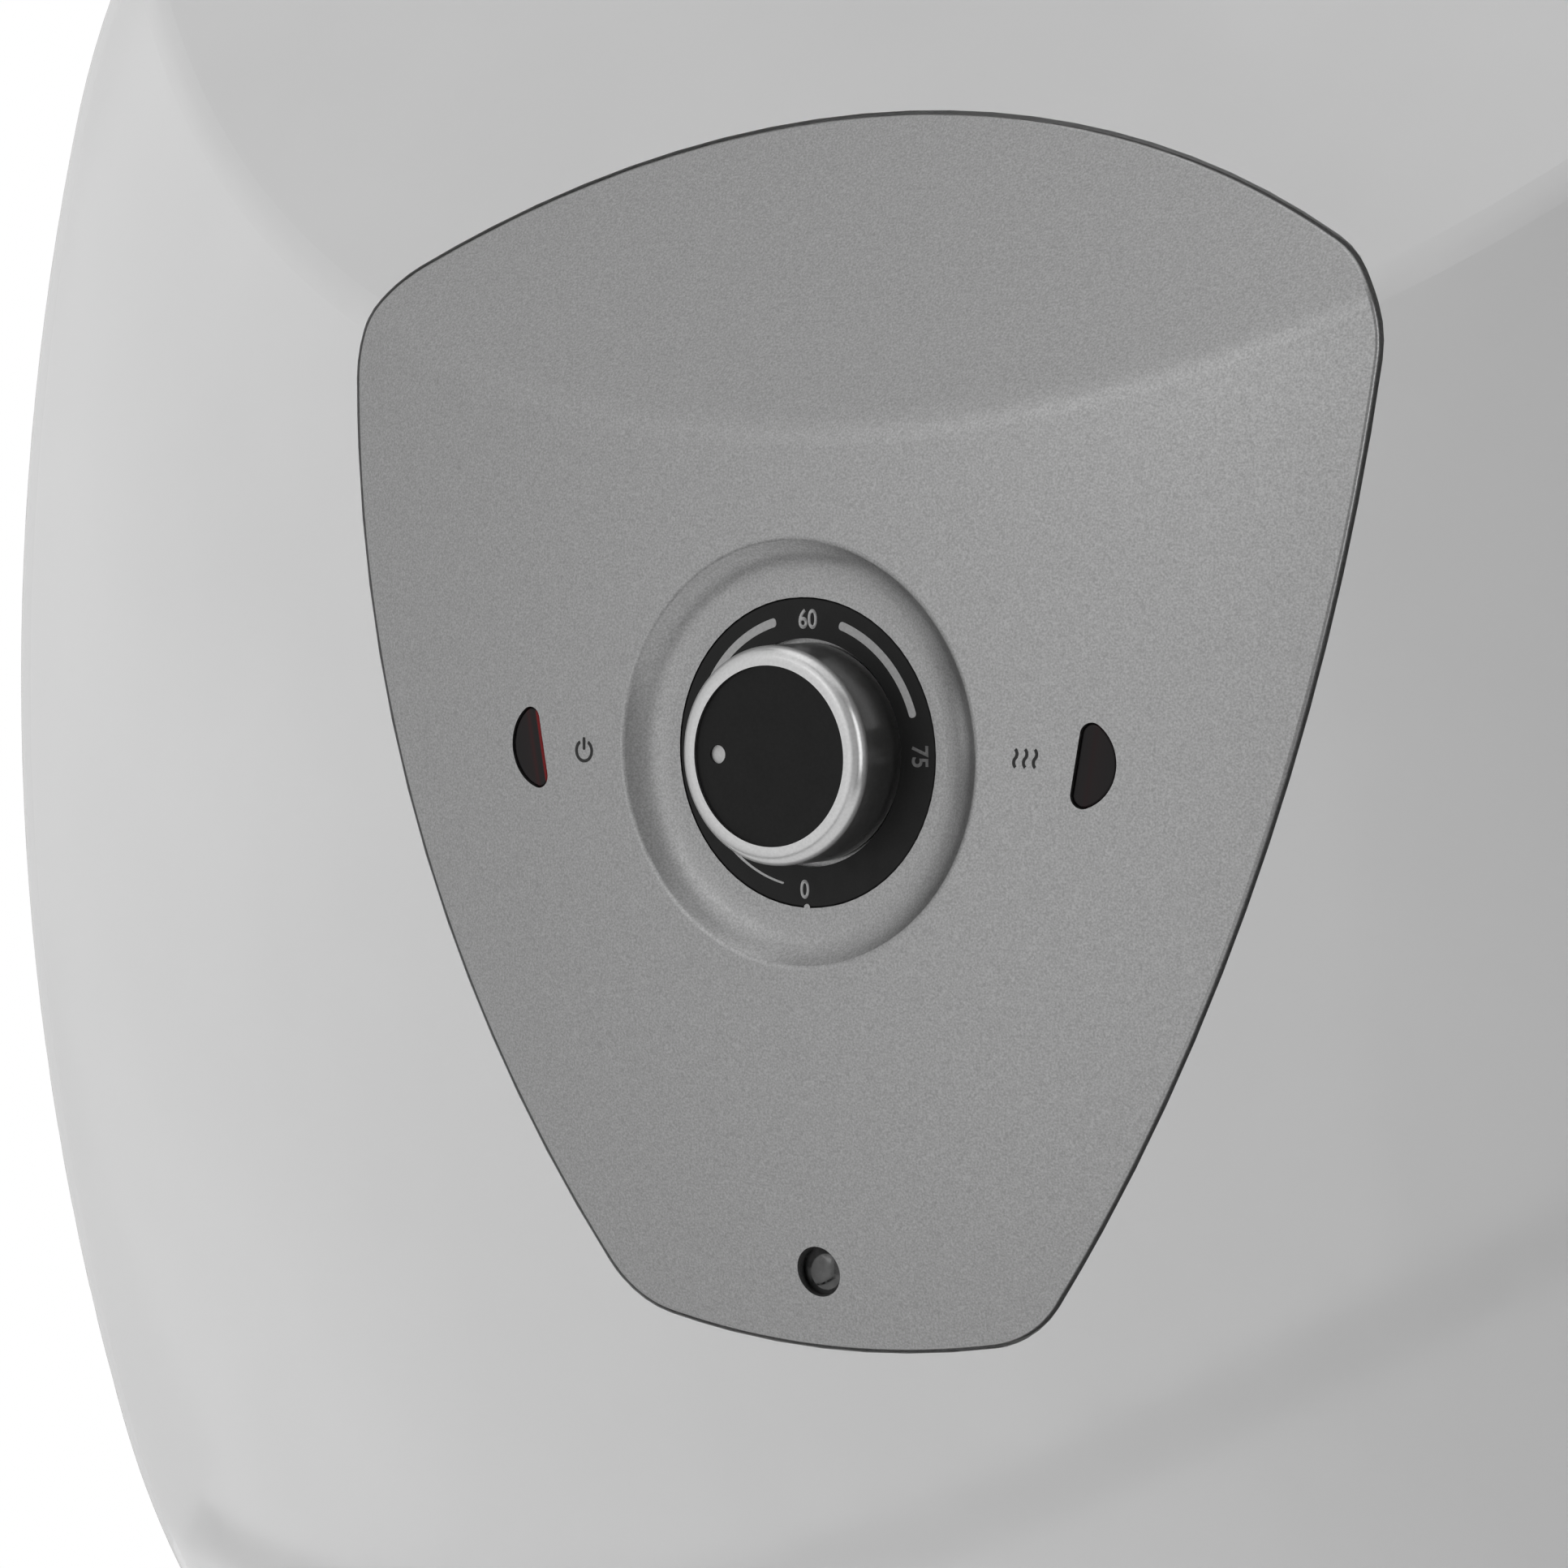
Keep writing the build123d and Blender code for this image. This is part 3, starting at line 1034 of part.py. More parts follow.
def tank_bracket():
    """Slotted plate against the wall, on two box legs welded to the tank's rear head."""
    plate = block(-BRACKET_W / 2, BRACKET_W / 2, -BRACKET_T, 0, -BRACKET_H / 2, BRACKET_H / 2)
    plate = fillet(plate.edges().filter_by(Axis.Y), BRACKET_CORNER_R)
    leg = leg_block(0.0) - leg_block(BRACKET_T) - tank_form(0.0)
    bracket = plate + leg + mirror_x(leg)
    for side in (-1, 1):
        slot = front_plane(side * SCREW_SPACING / 2, 1, 0) * SlotOverall(SLOT_LENGTH, 2 * SLOT_R)
        bracket -= extrude(slot, BRACKET_T + 2)
    return bracket


# ---- insulation ----
def wiring_cell():
    """Space behind the panel for the thermostat, its leads, the panel's hooks and the screw boss."""
    cell = shield_prism(-LEDGE_WIDTH - CELL_MARGIN, FRONT_Y - 1, FRONT_Y + CELL_DEPTH)
    cell += post(0, FRONT_Y + CELL_DEPTH - 1, TANK_FRONT_Y + TANK_HEAD_DEPTH, KNOB_Z, CELL_RIM_R)
    half = PANEL_SCREW_BOSS_R + PANEL_TAB_MARGIN + FIT
    boss_end = PANEL_SCREW_SEAT_Y + PANEL_WELL_FLOOR + PANEL_BOSS_DEPTH + 2 * FIT
    cell += block(-half, half, FRONT_Y, boss_end, KNOB_Z - PANEL_FOOT, KNOB_Z - PANEL_SCREW_DROP)
    hook_back = PANEL_THICK + LEDGE_THICK + PANEL_HOOK_T + 3 * FIT
    for side in (-1, 1):
        x0 = side * PANEL_HOOK_X - PANEL_HOOK_W / 2 - FIT
        x1 = x0 + PANEL_HOOK_W + 2 * FIT
        cell += brow_block(x0, x1, HOOK_UP - LEDGE_WIDTH, HOOK_UP + PANEL_HOOK_REACH + FIT, 0, hook_back)
    return cell


def foam_front():
    """Foam moulding between the front shell and the tank, hollow behind the panel."""
    ledge_back = PANEL_THICK + LEDGE_THICK + 2 * FIT
    foam = case_front(CASE_WALL + FIT)
    ledge_room = shield_prism(PANEL_GAP + CASE_WALL + FIT, FRONT_Y, FRONT_Y + CELL_DEPTH + 1)
    foam -= ledge_room - face_form(ledge_back)
    foam -= tank_form(FIT)
    foam -= wiring_cell()
    foam -= girth_room()
    foam -= drum(GLAND_X, GLAND_Y, CASE_Z - CASE_HALF, GLAND_DUCT_Z, CABLE_DUCT_R)
    foam -= cable_duct()
    foam -= drum(GLAND_X, GLAND_Y, CASE_Z - CASE_HALF, GLAND_SPOT_Z + CASE_WALL + FIT, GLAND_PAD_R + FIT)
    return foam - block(-FAR, FAR, SEAM_Y - FIT, 0, -FAR, FAR)


def cable_duct():
    """Slanting duct from the gland to the wiring space."""
    start = Vector(GLAND_X, GLAND_Y, GLAND_DUCT_Z - CABLE_DUCT_R)
    end = Vector(GLAND_X * 0.45, FRONT_Y + CELL_DEPTH * 0.6, KNOB_Z - PANEL_FOOT * 0.9)
    return extrude(Plane(origin=start, z_dir=end - start) * Circle(CABLE_DUCT_R), (end - start).length)


def girth_room():
    """Room in the foam for the weld band."""
    reach = WELD_BAND_W / 2 + FIT
    return post(0, TANK_MID_Y - reach, TANK_MID_Y + reach, CASE_Z, TANK_R + WELD_BAND_T + FIT)


def foam_rear():
    """Foam moulding between the rear shell and the tank."""
    foam = case_rear(CASE_WALL + FIT) - case_prism(0, FRONT_Y, SEAM_Y + FIT)
    foam -= tank_form(FIT)
    foam -= girth_room()
    for side in (-1, 1):
        pipe_x = side * NIPPLE_SPACING / 2
        foam -= drum(pipe_x, NIPPLE_Y, CASE_Z - CASE_HALF, CASE_Z - TANK_R / 2, COLLAR_SLEEVE_R + FIT)
        hook_x = side * SCREW_SPACING / 2
        foam -= block(hook_x - HOOK_ROOM_W / 2, hook_x + HOOK_ROOM_W / 2, -HOOK_ROOM_DEPTH, 0,
                      -HOOK_ROOM_H / 2, HOOK_ROOM_H / 2)
    leg = leg_block(-FIT)
    return foam - leg - mirror_x(leg)


# ---- leads ----
def lead(*points):
    """Insulated wire through the given points, with even bends."""
    path = FilletPolyline(*points, radius=LEAD_BEND_R)
    return sweep(Plane(path @ 0, z_dir=path % 0) * Circle(LEAD_R), path)


def element_leads():
    """Two wires from the thermostat's front tabs to the element's pins."""
    y = THERMO_Y + TAB_FROM_FRONT
    tab_z = THERMO_Z - THERMO_H / 2 - TAB_LENGTH
    pin_y = FLANGE_Y - ELEMENT_TAIL - ELEMENT_PIN_LENGTH
    x = ELEMENT_HALF_SPAN
    return both_sides(lead(
        (TAB_X, y, tab_z),
        (TAB_X, y, tab_z - LEAD_HANG),
        (x + LEAD_BOW, y, tab_z - LEAD_HANG + LEAD_RISE),
        (x + LEAD_BOW, y, ELEMENT_Z - LEAD_DIP),
        (x, pin_y - LEAD_END, ELEMENT_Z),
        (x, pin_y, ELEMENT_Z),
    ))


def lamp_leads():
    """Two wires from the lamp holders to the thermostat's sides."""
    y0 = FRONT_Y + LENS_DEPTH + PANEL_THICK + FIT + NEON_LENGTH
    side_x = THERMO_W / 2
    back_y = y0 + LAMP_LEAD_BACK
    z1 = LAMP_Z - LAMP_LEAD_DROP
    return both_sides(lead(
        (LAMP_X, y0, LAMP_Z),
        (LAMP_X, y0 + LAMP_LEAD_OUT, LAMP_Z),
        (side_x + LAMP_LEAD_SIDE, back_y, z1),
        (side_x, back_y, z1),
    ))


PIECES = {
    "front_shell": front_shell,
    "rear_shell": rear_shell,
    "wall_pads": wall_pads,
    "control_panel": control_panel,
    "panel_screw": panel_screw,
    "dial_ring": dial_ring,
    "knob_body": knob_body,
    "knob_disc": knob_disc,
    "knob_pointer": knob_pointer,
    "knob_clip": knob_clip,
    "lamp_lens_right": lamp_lens,
    "lamp_lens_left": lambda: mirror_x(lamp_lens()),
    "lamp_holders": lambda: both_sides(lamp_holder()),
    "neon_lamps": lambda: both_sides(neon_lamp()),
    "lamp_leads": lamp_leads,
    "thermostat_housing": thermostat_housing,
    "thermostat_spindle": thermostat_spindle,
    "thermostat_tabs": thermostat_tabs,
    "control_rod": lambda: thermostat_rods(CONTROL_ROD_LENGTH, 0.0),
    "limiter_rod": lambda: thermostat_rods(LIMITER_ROD_LENGTH, LIMITER_DROP),
    "reset_button": reset_button,
    "reset_spring": reset_spring,
    "element_leads": element_leads,
    "element_pins": element_pins,
    "heating_element": heating_element,
    "heater_flange": heater_flange,
    "flange_gasket": flange_gasket,
    "flange_studs": flange_studs,
    "flange_nuts": flange_nuts,
    "earth_nut": lambda: nut(EARTH_X, FLANGE_Y - EARTH_NUT_H, EARTH_NUT_H, KNOB_Z + EARTH_RISE,
                             EARTH_NUT_FLATS, EARTH_STUD_R),
    "sensor_pockets": sensor_pockets,
    "anode_rod": anode_rod,
    "anode_stud": anode_stud,
    "anode_nut": lambda: nut(0, FLANGE_Y - ANODE_NUT_H, ANODE_NUT_H, KNOB_Z + ANODE_RISE,
                             ANODE_NUT_FLATS, ANODE_STUD_R),
    "tank_front_head": tank_front_head,
    "tank_rear_head": tank_rear_head,
    "girth_weld": girth_weld,
    "flange_neck": flange_neck,
    "cold_nipple": nipple,
    "hot_nipple": lambda: mirror_x(nipple()),
    "cold_collar": pipe_collar,
    "hot_collar": lambda: mirror_x(pipe_collar()),
    "cold_diffuser": cold_diffuser,
    "hot_riser": hot_riser,
    "cable_gland": cable_gland,
    "gland_nut": gland_nut,
    "tank_bracket": tank_bracket,
    "foam_front": foam_front,
    "foam_rear": foam_rear,
}

if __name__ == "__main__":
    os.makedirs("parts", exist_ok=True)
    for name, make in PIECES.items():
        save(name, make())
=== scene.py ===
import math
import bpy
from mathutils import Matrix, Vector


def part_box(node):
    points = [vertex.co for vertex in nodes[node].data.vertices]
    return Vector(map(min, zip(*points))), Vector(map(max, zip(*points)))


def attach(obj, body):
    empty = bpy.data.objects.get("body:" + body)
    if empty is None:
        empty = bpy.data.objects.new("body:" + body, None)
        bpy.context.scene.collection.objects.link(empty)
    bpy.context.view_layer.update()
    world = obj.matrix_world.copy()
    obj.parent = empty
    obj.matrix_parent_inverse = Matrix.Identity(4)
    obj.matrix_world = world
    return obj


# Looks of a wall-hung electric storage water heater of the 30 litre class.
# Metres; the wall is y = 0, the front looks along -Y, +Z is up.

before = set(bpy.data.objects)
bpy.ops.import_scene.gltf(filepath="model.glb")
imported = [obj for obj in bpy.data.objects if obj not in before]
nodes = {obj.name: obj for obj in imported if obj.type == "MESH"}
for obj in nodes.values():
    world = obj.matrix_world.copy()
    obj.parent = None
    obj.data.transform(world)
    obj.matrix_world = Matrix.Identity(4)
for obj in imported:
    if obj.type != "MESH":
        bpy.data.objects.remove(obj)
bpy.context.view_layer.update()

MM = 0.001
RING_LOW, RING_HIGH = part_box("dial_ring")
DIAL = Vector((0.0, RING_LOW[1], (RING_LOW[2] + RING_HIGH[2]) / 2))   # knob axis on the dial's face
DOME_FRONT = DIAL.y - 4.4 * MM                                        # foremost point of the dome
DOME_R = 560.1 * MM          # radius of the panel's dome
LAMP_X = 57.3 * MM           # middle of a lamp lens beside the knob axis
LAMP_Z = DIAL.z - 0.7 * MM
LAMP_LEAN = math.radians(10.3)
LENS_FLAT = 3.3 * MM         # flat edge of a lens from its middle, towards the knob
LENS_ROUND = 3.7 * MM        # round edge of a lens from its middle


# ---- small tools ----
def linear(colour):
    """sRGB hex such as "#C8C8C8" as linear RGBA."""
    parts = [int(colour[i:i + 2], 16) / 255 for i in (1, 3, 5)]
    return [p / 12.92 if p <= 0.04045 else ((p + 0.055) / 1.055) ** 2.4 for p in parts] + [1.0]


def add(tree, kind, inputs=None, **settings):
    """Add a shader node with its settings; an input takes a value or another node's output."""
    node = tree.nodes.new("ShaderNode" + kind)
    for name, value in settings.items():
        setattr(node, name, value)
    for name, value in (inputs or {}).items():
        if isinstance(value, bpy.types.NodeSocket):
            tree.links.new(value, node.inputs[name])
        else:
            node.inputs[name].default_value = value
    return node


def new_finish(name, **sockets):
    """A new material; the Principled shader's sockets are given with underscores for spaces."""
    finish = bpy.data.materials.new(name)
    finish.use_nodes = True
    shader = finish.node_tree.nodes["Principled BSDF"]
    for socket, value in sockets.items():
        shader.inputs[socket.replace("_", " ")].default_value = value
    return finish, finish.node_tree, shader


def speckle(tree, size_mm, detail=2.0):
    """Noise whose grains are size_mm wide on the piece."""
    place = add(tree, "TexCoord").outputs["Object"]
    return add(tree, "TexNoise", {"Vector": place, "Scale": 1000 / size_mm, "Detail": detail}).outputs["Fac"]


FAC_LOW, FAC_HIGH = 0.3, 0.7     # the range in which nearly all of a noise pattern lies


def tint(tree, shader, fac, dark, light, low=FAC_LOW, high=FAC_HIGH):
    """Base colour that runs from dark to light with fac."""
    ramp = add(tree, "ValToRGB", {"Fac": fac})
    ramp.color_ramp.elements[0].position = low
    ramp.color_ramp.elements[1].position = high
    ramp.color_ramp.elements[0].color = linear(dark)
    ramp.color_ramp.elements[1].color = linear(light)
    tree.links.new(ramp.outputs["Color"], shader.inputs["Base Color"])
    return ramp


def gloss_range(tree, shader, fac, low, high):
    """Roughness that runs from low to high with fac."""
    span = add(tree, "MapRange", {"Value": fac, "From Min": FAC_LOW, "From Max": FAC_HIGH,
                                  "To Min": low, "To Max": high})
    tree.links.new(span.outputs["Result"], shader.inputs["Roughness"])


def relief(tree, shader, height, depth_mm, strength=1.0):
    """Bump of depth_mm from height."""
    bump = add(tree, "Bump", {"Height": height, "Distance": depth_mm * MM, "Strength": strength})
    tree.links.new(bump.outputs["Normal"], shader.inputs["Normal"])


def dress(node_names, finish):
    """Give CAD nodes their finish."""
    for name in node_names:
        nodes[name].data.materials.clear()
        nodes[name].data.materials.append(finish)


# ---- finishes ----
def white_abs():
    """Moulded glossy ABS: opaque neutral white, mirror-like gloss with faint handling marks."""
    finish, tree, shader = new_finish("glossy_white_abs", IOR=1.53)
    tint(tree, shader, speckle(tree, 60), "#EEEEEE", "#F2F2F2")
    gloss_range(tree, shader, speckle(tree, 9, 6), 0.07, 0.12)
    relief(tree, shader, speckle(tree, 30, 0), 0.01)
    return finish


def silver_lacquer():
    """Sprayed silver lacquer on ABS: mid grey, satin, with the fine sparkle of aluminium flake."""
    finish, tree, shader = new_finish("silver_lacquer", Metallic=0.9, IOR=1.5)
    grain = speckle(tree, 0.35, 2)
    tint(tree, shader, grain, "#868686", "#A0A0A0")
    gloss_range(tree, shader, speckle(tree, 0.9), 0.3, 0.38)
    relief(tree, shader, grain, 0.006, 0.3)
    return finish


def satin_silver():
    """Vacuum-coated plastic under satin lacquer: bright soft metal."""
    finish, tree, shader = new_finish("satin_silver", Metallic=1.0)
    tint(tree, shader, speckle(tree, 0.5, 3), "#B8B8B8", "#C2C2C2")
    gloss_range(tree, shader, speckle(tree, 1.2, 3), 0.29, 0.33)
    return finish


def black_print():
    """Black screen ink on the dial's foil: matt, with fine dust."""
    finish, tree, shader = new_finish("dial_black", IOR=1.3)
    tint(tree, shader, speckle(tree, 0.4, 4), "#080808", "#101010")
    gloss_range(tree, shader, speckle(tree, 3, 4), 0.4, 0.5)
    return finish


def disc_black():
    """Black gloss ABS insert, slightly hazed."""
    finish, tree, shader = new_finish("disc_black", IOR=1.27)
    tint(tree, shader, speckle(tree, 0.6, 4), "#0A0A0A", "#111111")
    gloss_range(tree, shader, speckle(tree, 5, 4), 0.4, 0.5)
    return finish


def ink(name, dark, light):
    """Screen-printed ink: matt, its colour almost even."""
    finish, tree, shader = new_finish(name, Roughness=0.6, IOR=1.45)
    tint(tree, shader, speckle(tree, 0.5, 3), dark, light)
    return finish


def smoked_red(name, painted_glow_edge, painted_glow_heart):
    """Smoked red polycarbonate: nearly black; its flat edge and its heart carry a painted red glow that
    stands in for lamp light through the lens.
    """
    finish, tree, shader = new_finish(name, Roughness=0.1, IOR=1.25)
    place = add(tree, "TexCoord").outputs["Object"]
    axes = add(tree, "SeparateXYZ", {"Vector": place}).outputs
    away = add(tree, "Math", {0: axes["X"]}, operation="ABSOLUTE").outputs["Value"]
    along = add(tree, "Math", {0: away, 1: LAMP_X}, operation="SUBTRACT").outputs["Value"]
    up = add(tree, "Math", {0: axes["Z"], 1: LAMP_Z}, operation="SUBTRACT").outputs["Value"]
    lean = add(tree, "Math", {0: up, 1: math.tan(LAMP_LEAN)}, operation="MULTIPLY").outputs["Value"]
    from_middle = add(tree, "Math", {0: along, 1: lean}, operation="SUBTRACT").outputs["Value"]
    width = add(tree, "MapRange", {"Value": from_middle, "From Min": -LENS_FLAT, "From Max": LENS_ROUND})
    # painted glow: a red strip along the lens's flat edge and a red patch in its heart stand in for lamp
    # light
    ramp = tint(tree, shader, width.outputs["Result"], painted_glow_edge, "#1C1819", 0.11, 0.15)
    for position, colour in ((0.28, "#1E1819"), (0.38, painted_glow_heart), (0.5, "#201819"), (0.9, "#1A1718")):
        ramp.color_ramp.elements.new(position).color = linear(colour)
    return finish


def plastic(name, dark, light, rough):
    """Moulded technical plastic with a fine spark-eroded grain."""
    finish, tree, shader = new_finish(name, IOR=1.5)
    tint(tree, shader, speckle(tree, 8, 4), dark, light)
    gloss_range(tree, shader, speckle(tree, 2, 3), rough - 0.06, rough + 0.06)
    relief(tree, shader, speckle(tree, 0.6, 2), 0.02, 0.4)
    return finish


def metal(name, dark, light, rough, size_mm=1.5):
    """Bare or plated metal, its tone mottled at size_mm."""
    finish, tree, shader = new_finish(name, Metallic=1.0)
    tint(tree, shader, speckle(tree, size_mm, 4), dark, light)
    gloss_range(tree, shader, speckle(tree, size_mm / 2, 3), rough - 0.07, rough + 0.07)
    relief(tree, shader, speckle(tree, size_mm / 3, 2), 0.01, 0.3)
    return finish


def enamel():
    """Vitreous enamel: deep blue glass fused on steel, glossy with a slight orange peel."""
    finish, tree, shader = new_finish("blue_enamel", IOR=1.52)
    tint(tree, shader, speckle(tree, 3, 5), "#14233D", "#1D3052")
    gloss_range(tree, shader, speckle(tree, 12, 3), 0.08, 0.16)
    relief(tree, shader, speckle(tree, 4, 1), 0.05, 0.4)
    return finish


def foam():
    """Rigid polyurethane foam: cream, matt, with closed cells."""
    finish, tree, shader = new_finish("cream_foam", IOR=1.4)
    place = add(tree, "TexCoord").outputs["Object"]
    cell_mm = 1.8
    cells = add(tree, "TexVoronoi", {"Vector": place, "Scale": 1000 / cell_mm}).outputs["Distance"]
    tint(tree, shader, cells, "#C9AF76", "#E6D3A2", 0.0, 0.6)
    shader.inputs["Roughness"].default_value = 0.9
    relief(tree, shader, cells, 0.25, 0.7)
    return finish


def rubber(name):
    """Black vulcanised rubber, dull with a bloom."""
    finish, tree, shader = new_finish(name, IOR=1.5)
    tint(tree, shader, speckle(tree, 4, 5), "#171717", "#242423")
    gloss_range(tree, shader, speckle(tree, 2, 3), 0.62, 0.8)
    relief(tree, shader, speckle(tree, 0.5, 3), 0.03, 0.5)
    return finish


def neon_glass():
    """Thin glass tube with a faint orange cast."""
    finish, tree, shader = new_finish("neon_glass", Roughness=0.03, IOR=1.5, Transmission_Weight=0.9)
    tint(tree, shader, speckle(tree, 6, 2), "#F2B79A", "#F7C9B2")
    return finish


dress(["front_shell", "rear_shell"], white_abs())
dress(["control_panel"], silver_lacquer())
dress(["knob_body"], satin_silver())
dress(["dial_ring"], black_print())
dress(["knob_disc"], disc_black())
dress(["knob_pointer"], ink("pointer_white", "#D8D8D8", "#E4E4E4"))
# the power lens gets a bright painted red glow along its flat edge, as if its lamp were lit; the heat lens
# gets only a faint painted glow in its heart
dress(["lamp_lens_left"], smoked_red("smoked_red_power_lens", "#7E0D12", "#331315"))
dress(["lamp_lens_right"], smoked_red("smoked_red_heat_lens", "#171415", "#241315"))
dress(["lamp_holders", "cold_diffuser"], plastic("natural_nylon", "#CFCBBE", "#DDD9CC", 0.45))
dress(["neon_lamps"], neon_glass())
dress(["panel_screw"], metal("dark_plated_screw", "#4A4A4A", "#585858", 0.15))
dress(["wall_pads", "flange_gasket"], rubber("black_rubber"))
dress(["thermostat_housing"], plastic("grey_resin", "#8B8980", "#9B998F", 0.5))
dress(["reset_button"], plastic("red_button", "#96120F", "#A91A15", 0.35))
dress(["cold_collar"], plastic("blue_collar", "#17479B", "#1D54B0", 0.3))
dress(["hot_collar"], plastic("red_collar", "#A31512", "#B81F1A", 0.3))
dress(["cable_gland", "gland_nut"], plastic("grey_nylon", "#5C5F62", "#6A6D70", 0.45))
dress(["element_leads", "lamp_leads"], plastic("lead_pvc", "#2A2C33", "#363943", 0.5))
dress(["knob_clip", "reset_spring"], metal("spring_steel", "#8E9092", "#A6A8AA", 0.28))
dress(["thermostat_spindle", "heater_flange", "flange_studs", "flange_nuts", "anode_stud", "anode_nut"],
      metal("zinc_plate", "#A9ADB0", "#C3C7CA", 0.32, 2.5))
dress(["cold_nipple", "hot_nipple", "tank_bracket"], metal("zinc_steel", "#A4A8AC", "#BFC3C6", 0.36, 4.0))
dress(["control_rod", "limiter_rod", "hot_riser"], metal("stainless", "#B4B4B2", "#C6C6C4", 0.25, 2.0))
dress(["thermostat_tabs", "element_pins", "earth_nut", "sensor_pockets"],
      metal("brass", "#B8974E", "#CDAE66", 0.28, 2.0))
dress(["heating_element"], metal("nickel_sheath", "#9C978E", "#B3AEA4", 0.3, 2.0))
dress(["anode_rod"], metal("cast_magnesium", "#8C8D8F", "#A2A3A5", 0.55, 1.2))
dress(["tank_front_head", "tank_rear_head", "girth_weld", "flange_neck"], enamel())
dress(["foam_front", "foam_rear"], foam())


# ---- printed marks ----
def edit_all():
    """Into edit mode with all of the mesh selected."""
    bpy.ops.object.mode_set(mode="EDIT")
    bpy.ops.mesh.select_all(action="SELECT")


def leave_edit():
    """Back to object mode with none of the mesh selected."""
    bpy.ops.mesh.select_all(action="DESELECT")
    bpy.ops.object.mode_set(mode="OBJECT")


def clock_from(middle, point):
    """Clockwise angle of a point in the X-Y plane, counted from the middle direction."""
    return (math.atan2(point.x, point.y) - middle + math.pi) % (2 * math.pi) - math.pi


def ring_part(radius, start, end, width0, width1, centre=(0.0, 0.0)):
    """Flat arc in the X-Y plane with rounded ends; clockwise degrees from the top, sizes in millimetres.

    Its edges are two circles moved apart, so that the width grows from width0 at its start to width1.
    """
    bpy.ops.object.select_all(action="DESELECT")
    middle = math.radians((start + end) / 2)
    half_turn = math.radians((end - start) / 2)
    taper = (width1 - width0) / 4 / max(math.sin(half_turn), 0.1)
    skew = Vector((math.cos(middle), -math.sin(middle), 0)) * taper
    mean = (width0 + width1) / 4
    bpy.ops.mesh.primitive_circle_add(vertices=240, radius=(radius + mean) * MM, location=skew * MM)
    piece = bpy.context.object
    bpy.ops.object.transform_apply(location=True, rotation=True, scale=True)
    edit_all()
    bpy.ops.mesh.extrude_edges_move(TRANSFORM_OT_translate={"value": skew * -2 * MM})
    shrink = (radius - mean) / (radius + mean)
    bpy.ops.transform.resize(value=(shrink, shrink, 1), center_override=skew * -MM)
    leave_edit()
    for face in piece.data.polygons:
        face.select = abs(clock_from(middle, face.center)) > half_turn
    bpy.ops.object.mode_set(mode="EDIT")
    bpy.ops.mesh.delete(type="FACE")
    bpy.ops.mesh.select_all(action="SELECT")
    bpy.ops.mesh.dissolve_faces()
    leave_edit()
    for way, width in ((-1, width0), (1, width1)):
        for corner in sorted(piece.data.vertices, key=lambda v: way * clock_from(middle, v.co))[-2:]:
            corner.select = True
        bpy.ops.object.mode_set(mode="EDIT")
        bpy.ops.mesh.bevel(affect="VERTICES", offset=width * END_ROUNDING * MM, segments=5)
        leave_edit()
    edit_all()
    bpy.ops.transform.translate(value=Vector((*centre, 0)) * MM)
    leave_edit()
    return piece


def bar_part(width, height, centre=(0.0, 0.0)):
    """Flat upright bar in the X-Y plane, in millimetres."""
    bpy.ops.object.select_all(action="DESELECT")
    bpy.ops.mesh.primitive_plane_add(size=1, location=Vector((*centre, 0)) * MM)
    bpy.ops.transform.resize(value=(width * MM, height * MM, 1))
    bpy.ops.object.transform_apply(location=True, rotation=True, scale=True)
    edit_all()
    bpy.ops.mesh.bevel(affect="VERTICES", offset=width * BAR_ROUNDING * MM, segments=3)
    leave_edit()
    return bpy.context.object


def print_mark(name, parts, place, finish):
    """Join flat parts into one printed mark, give it the ink's thickness and lay it in its place."""
    bpy.ops.object.select_all(action="DESELECT")
    for part in parts:
        part.select_set(True)
    bpy.context.view_layer.objects.active = parts[0]
    if len(parts) > 1:
        bpy.ops.object.join()
    piece = bpy.context.object
    piece.name = name
    piece.data.transform(place)
    edit_all()
    out = place.to_3x3() @ Vector((0, 0, 1))
    bpy.ops.mesh.extrude_region_move(TRANSFORM_OT_translate={"value": out * MARK_DEPTH * MM})
    bpy.ops.mesh.select_all(action="SELECT")
    bpy.ops.mesh.normals_make_consistent(inside=False)
    leave_edit()
    piece.data.materials.clear()
    piece.data.materials.append(finish)
    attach(piece, "casing")
    return piece


def number_part(words, height):
    """Flat number about its own middle in the X-Y plane, height in millimetres."""
    bpy.ops.object.select_all(action="DESELECT")
    bpy.ops.object.text_add()
    piece = bpy.context.object
    piece.data.body = words
    piece.data.size = height * MM / FIGURE_SHARE
    piece.data.offset = height * MM * FIGURE_WEIGHT
    piece.data.resolution_u = 6
    bpy.ops.object.convert(target="MESH")
    piece = bpy.context.object
    low = [min(v.co[i] for v in piece.data.vertices) for i in range(3)]
    high = [max(v.co[i] for v in piece.data.vertices) for i in range(3)]
    centre = Vector([(a + b) / 2 for a, b in zip(low, high)])
    piece.data.transform(Matrix.Diagonal((FIGURE_SQUEEZE, 1, 1, 1)) @ Matrix.Translation(-centre))
    return piece


def on_dial(x=0.0, z=0.0, turn=0.0):
    """Place on the dial's face, x and z in millimetres from the knob axis, turned clockwise in degrees."""
    upright = Matrix.Rotation(math.radians(turn), 4, "Y") @ Matrix.Rotation(math.radians(90), 4, "X")
    return Matrix.Translation(DIAL + Vector((x * MM, 0, z * MM))) @ upright


def on_dome(x, z):
    """Place that touches the panel's dome, x and z in millimetres from the knob axis."""
    x, z = x * MM, z * MM
    depth = math.sqrt(DOME_R ** 2 - x * x - z * z)
    out = Vector((x, -depth, z)) / DOME_R
    across = Vector((0, 0, 1)).cross(-out).normalized()
    spot = Vector((x, DOME_FRONT + DOME_R - depth, DIAL.z + z))
    axes = Matrix((-across, out.cross(-across), out)).transposed().to_4x4()
    return Matrix.Translation(spot) @ axes


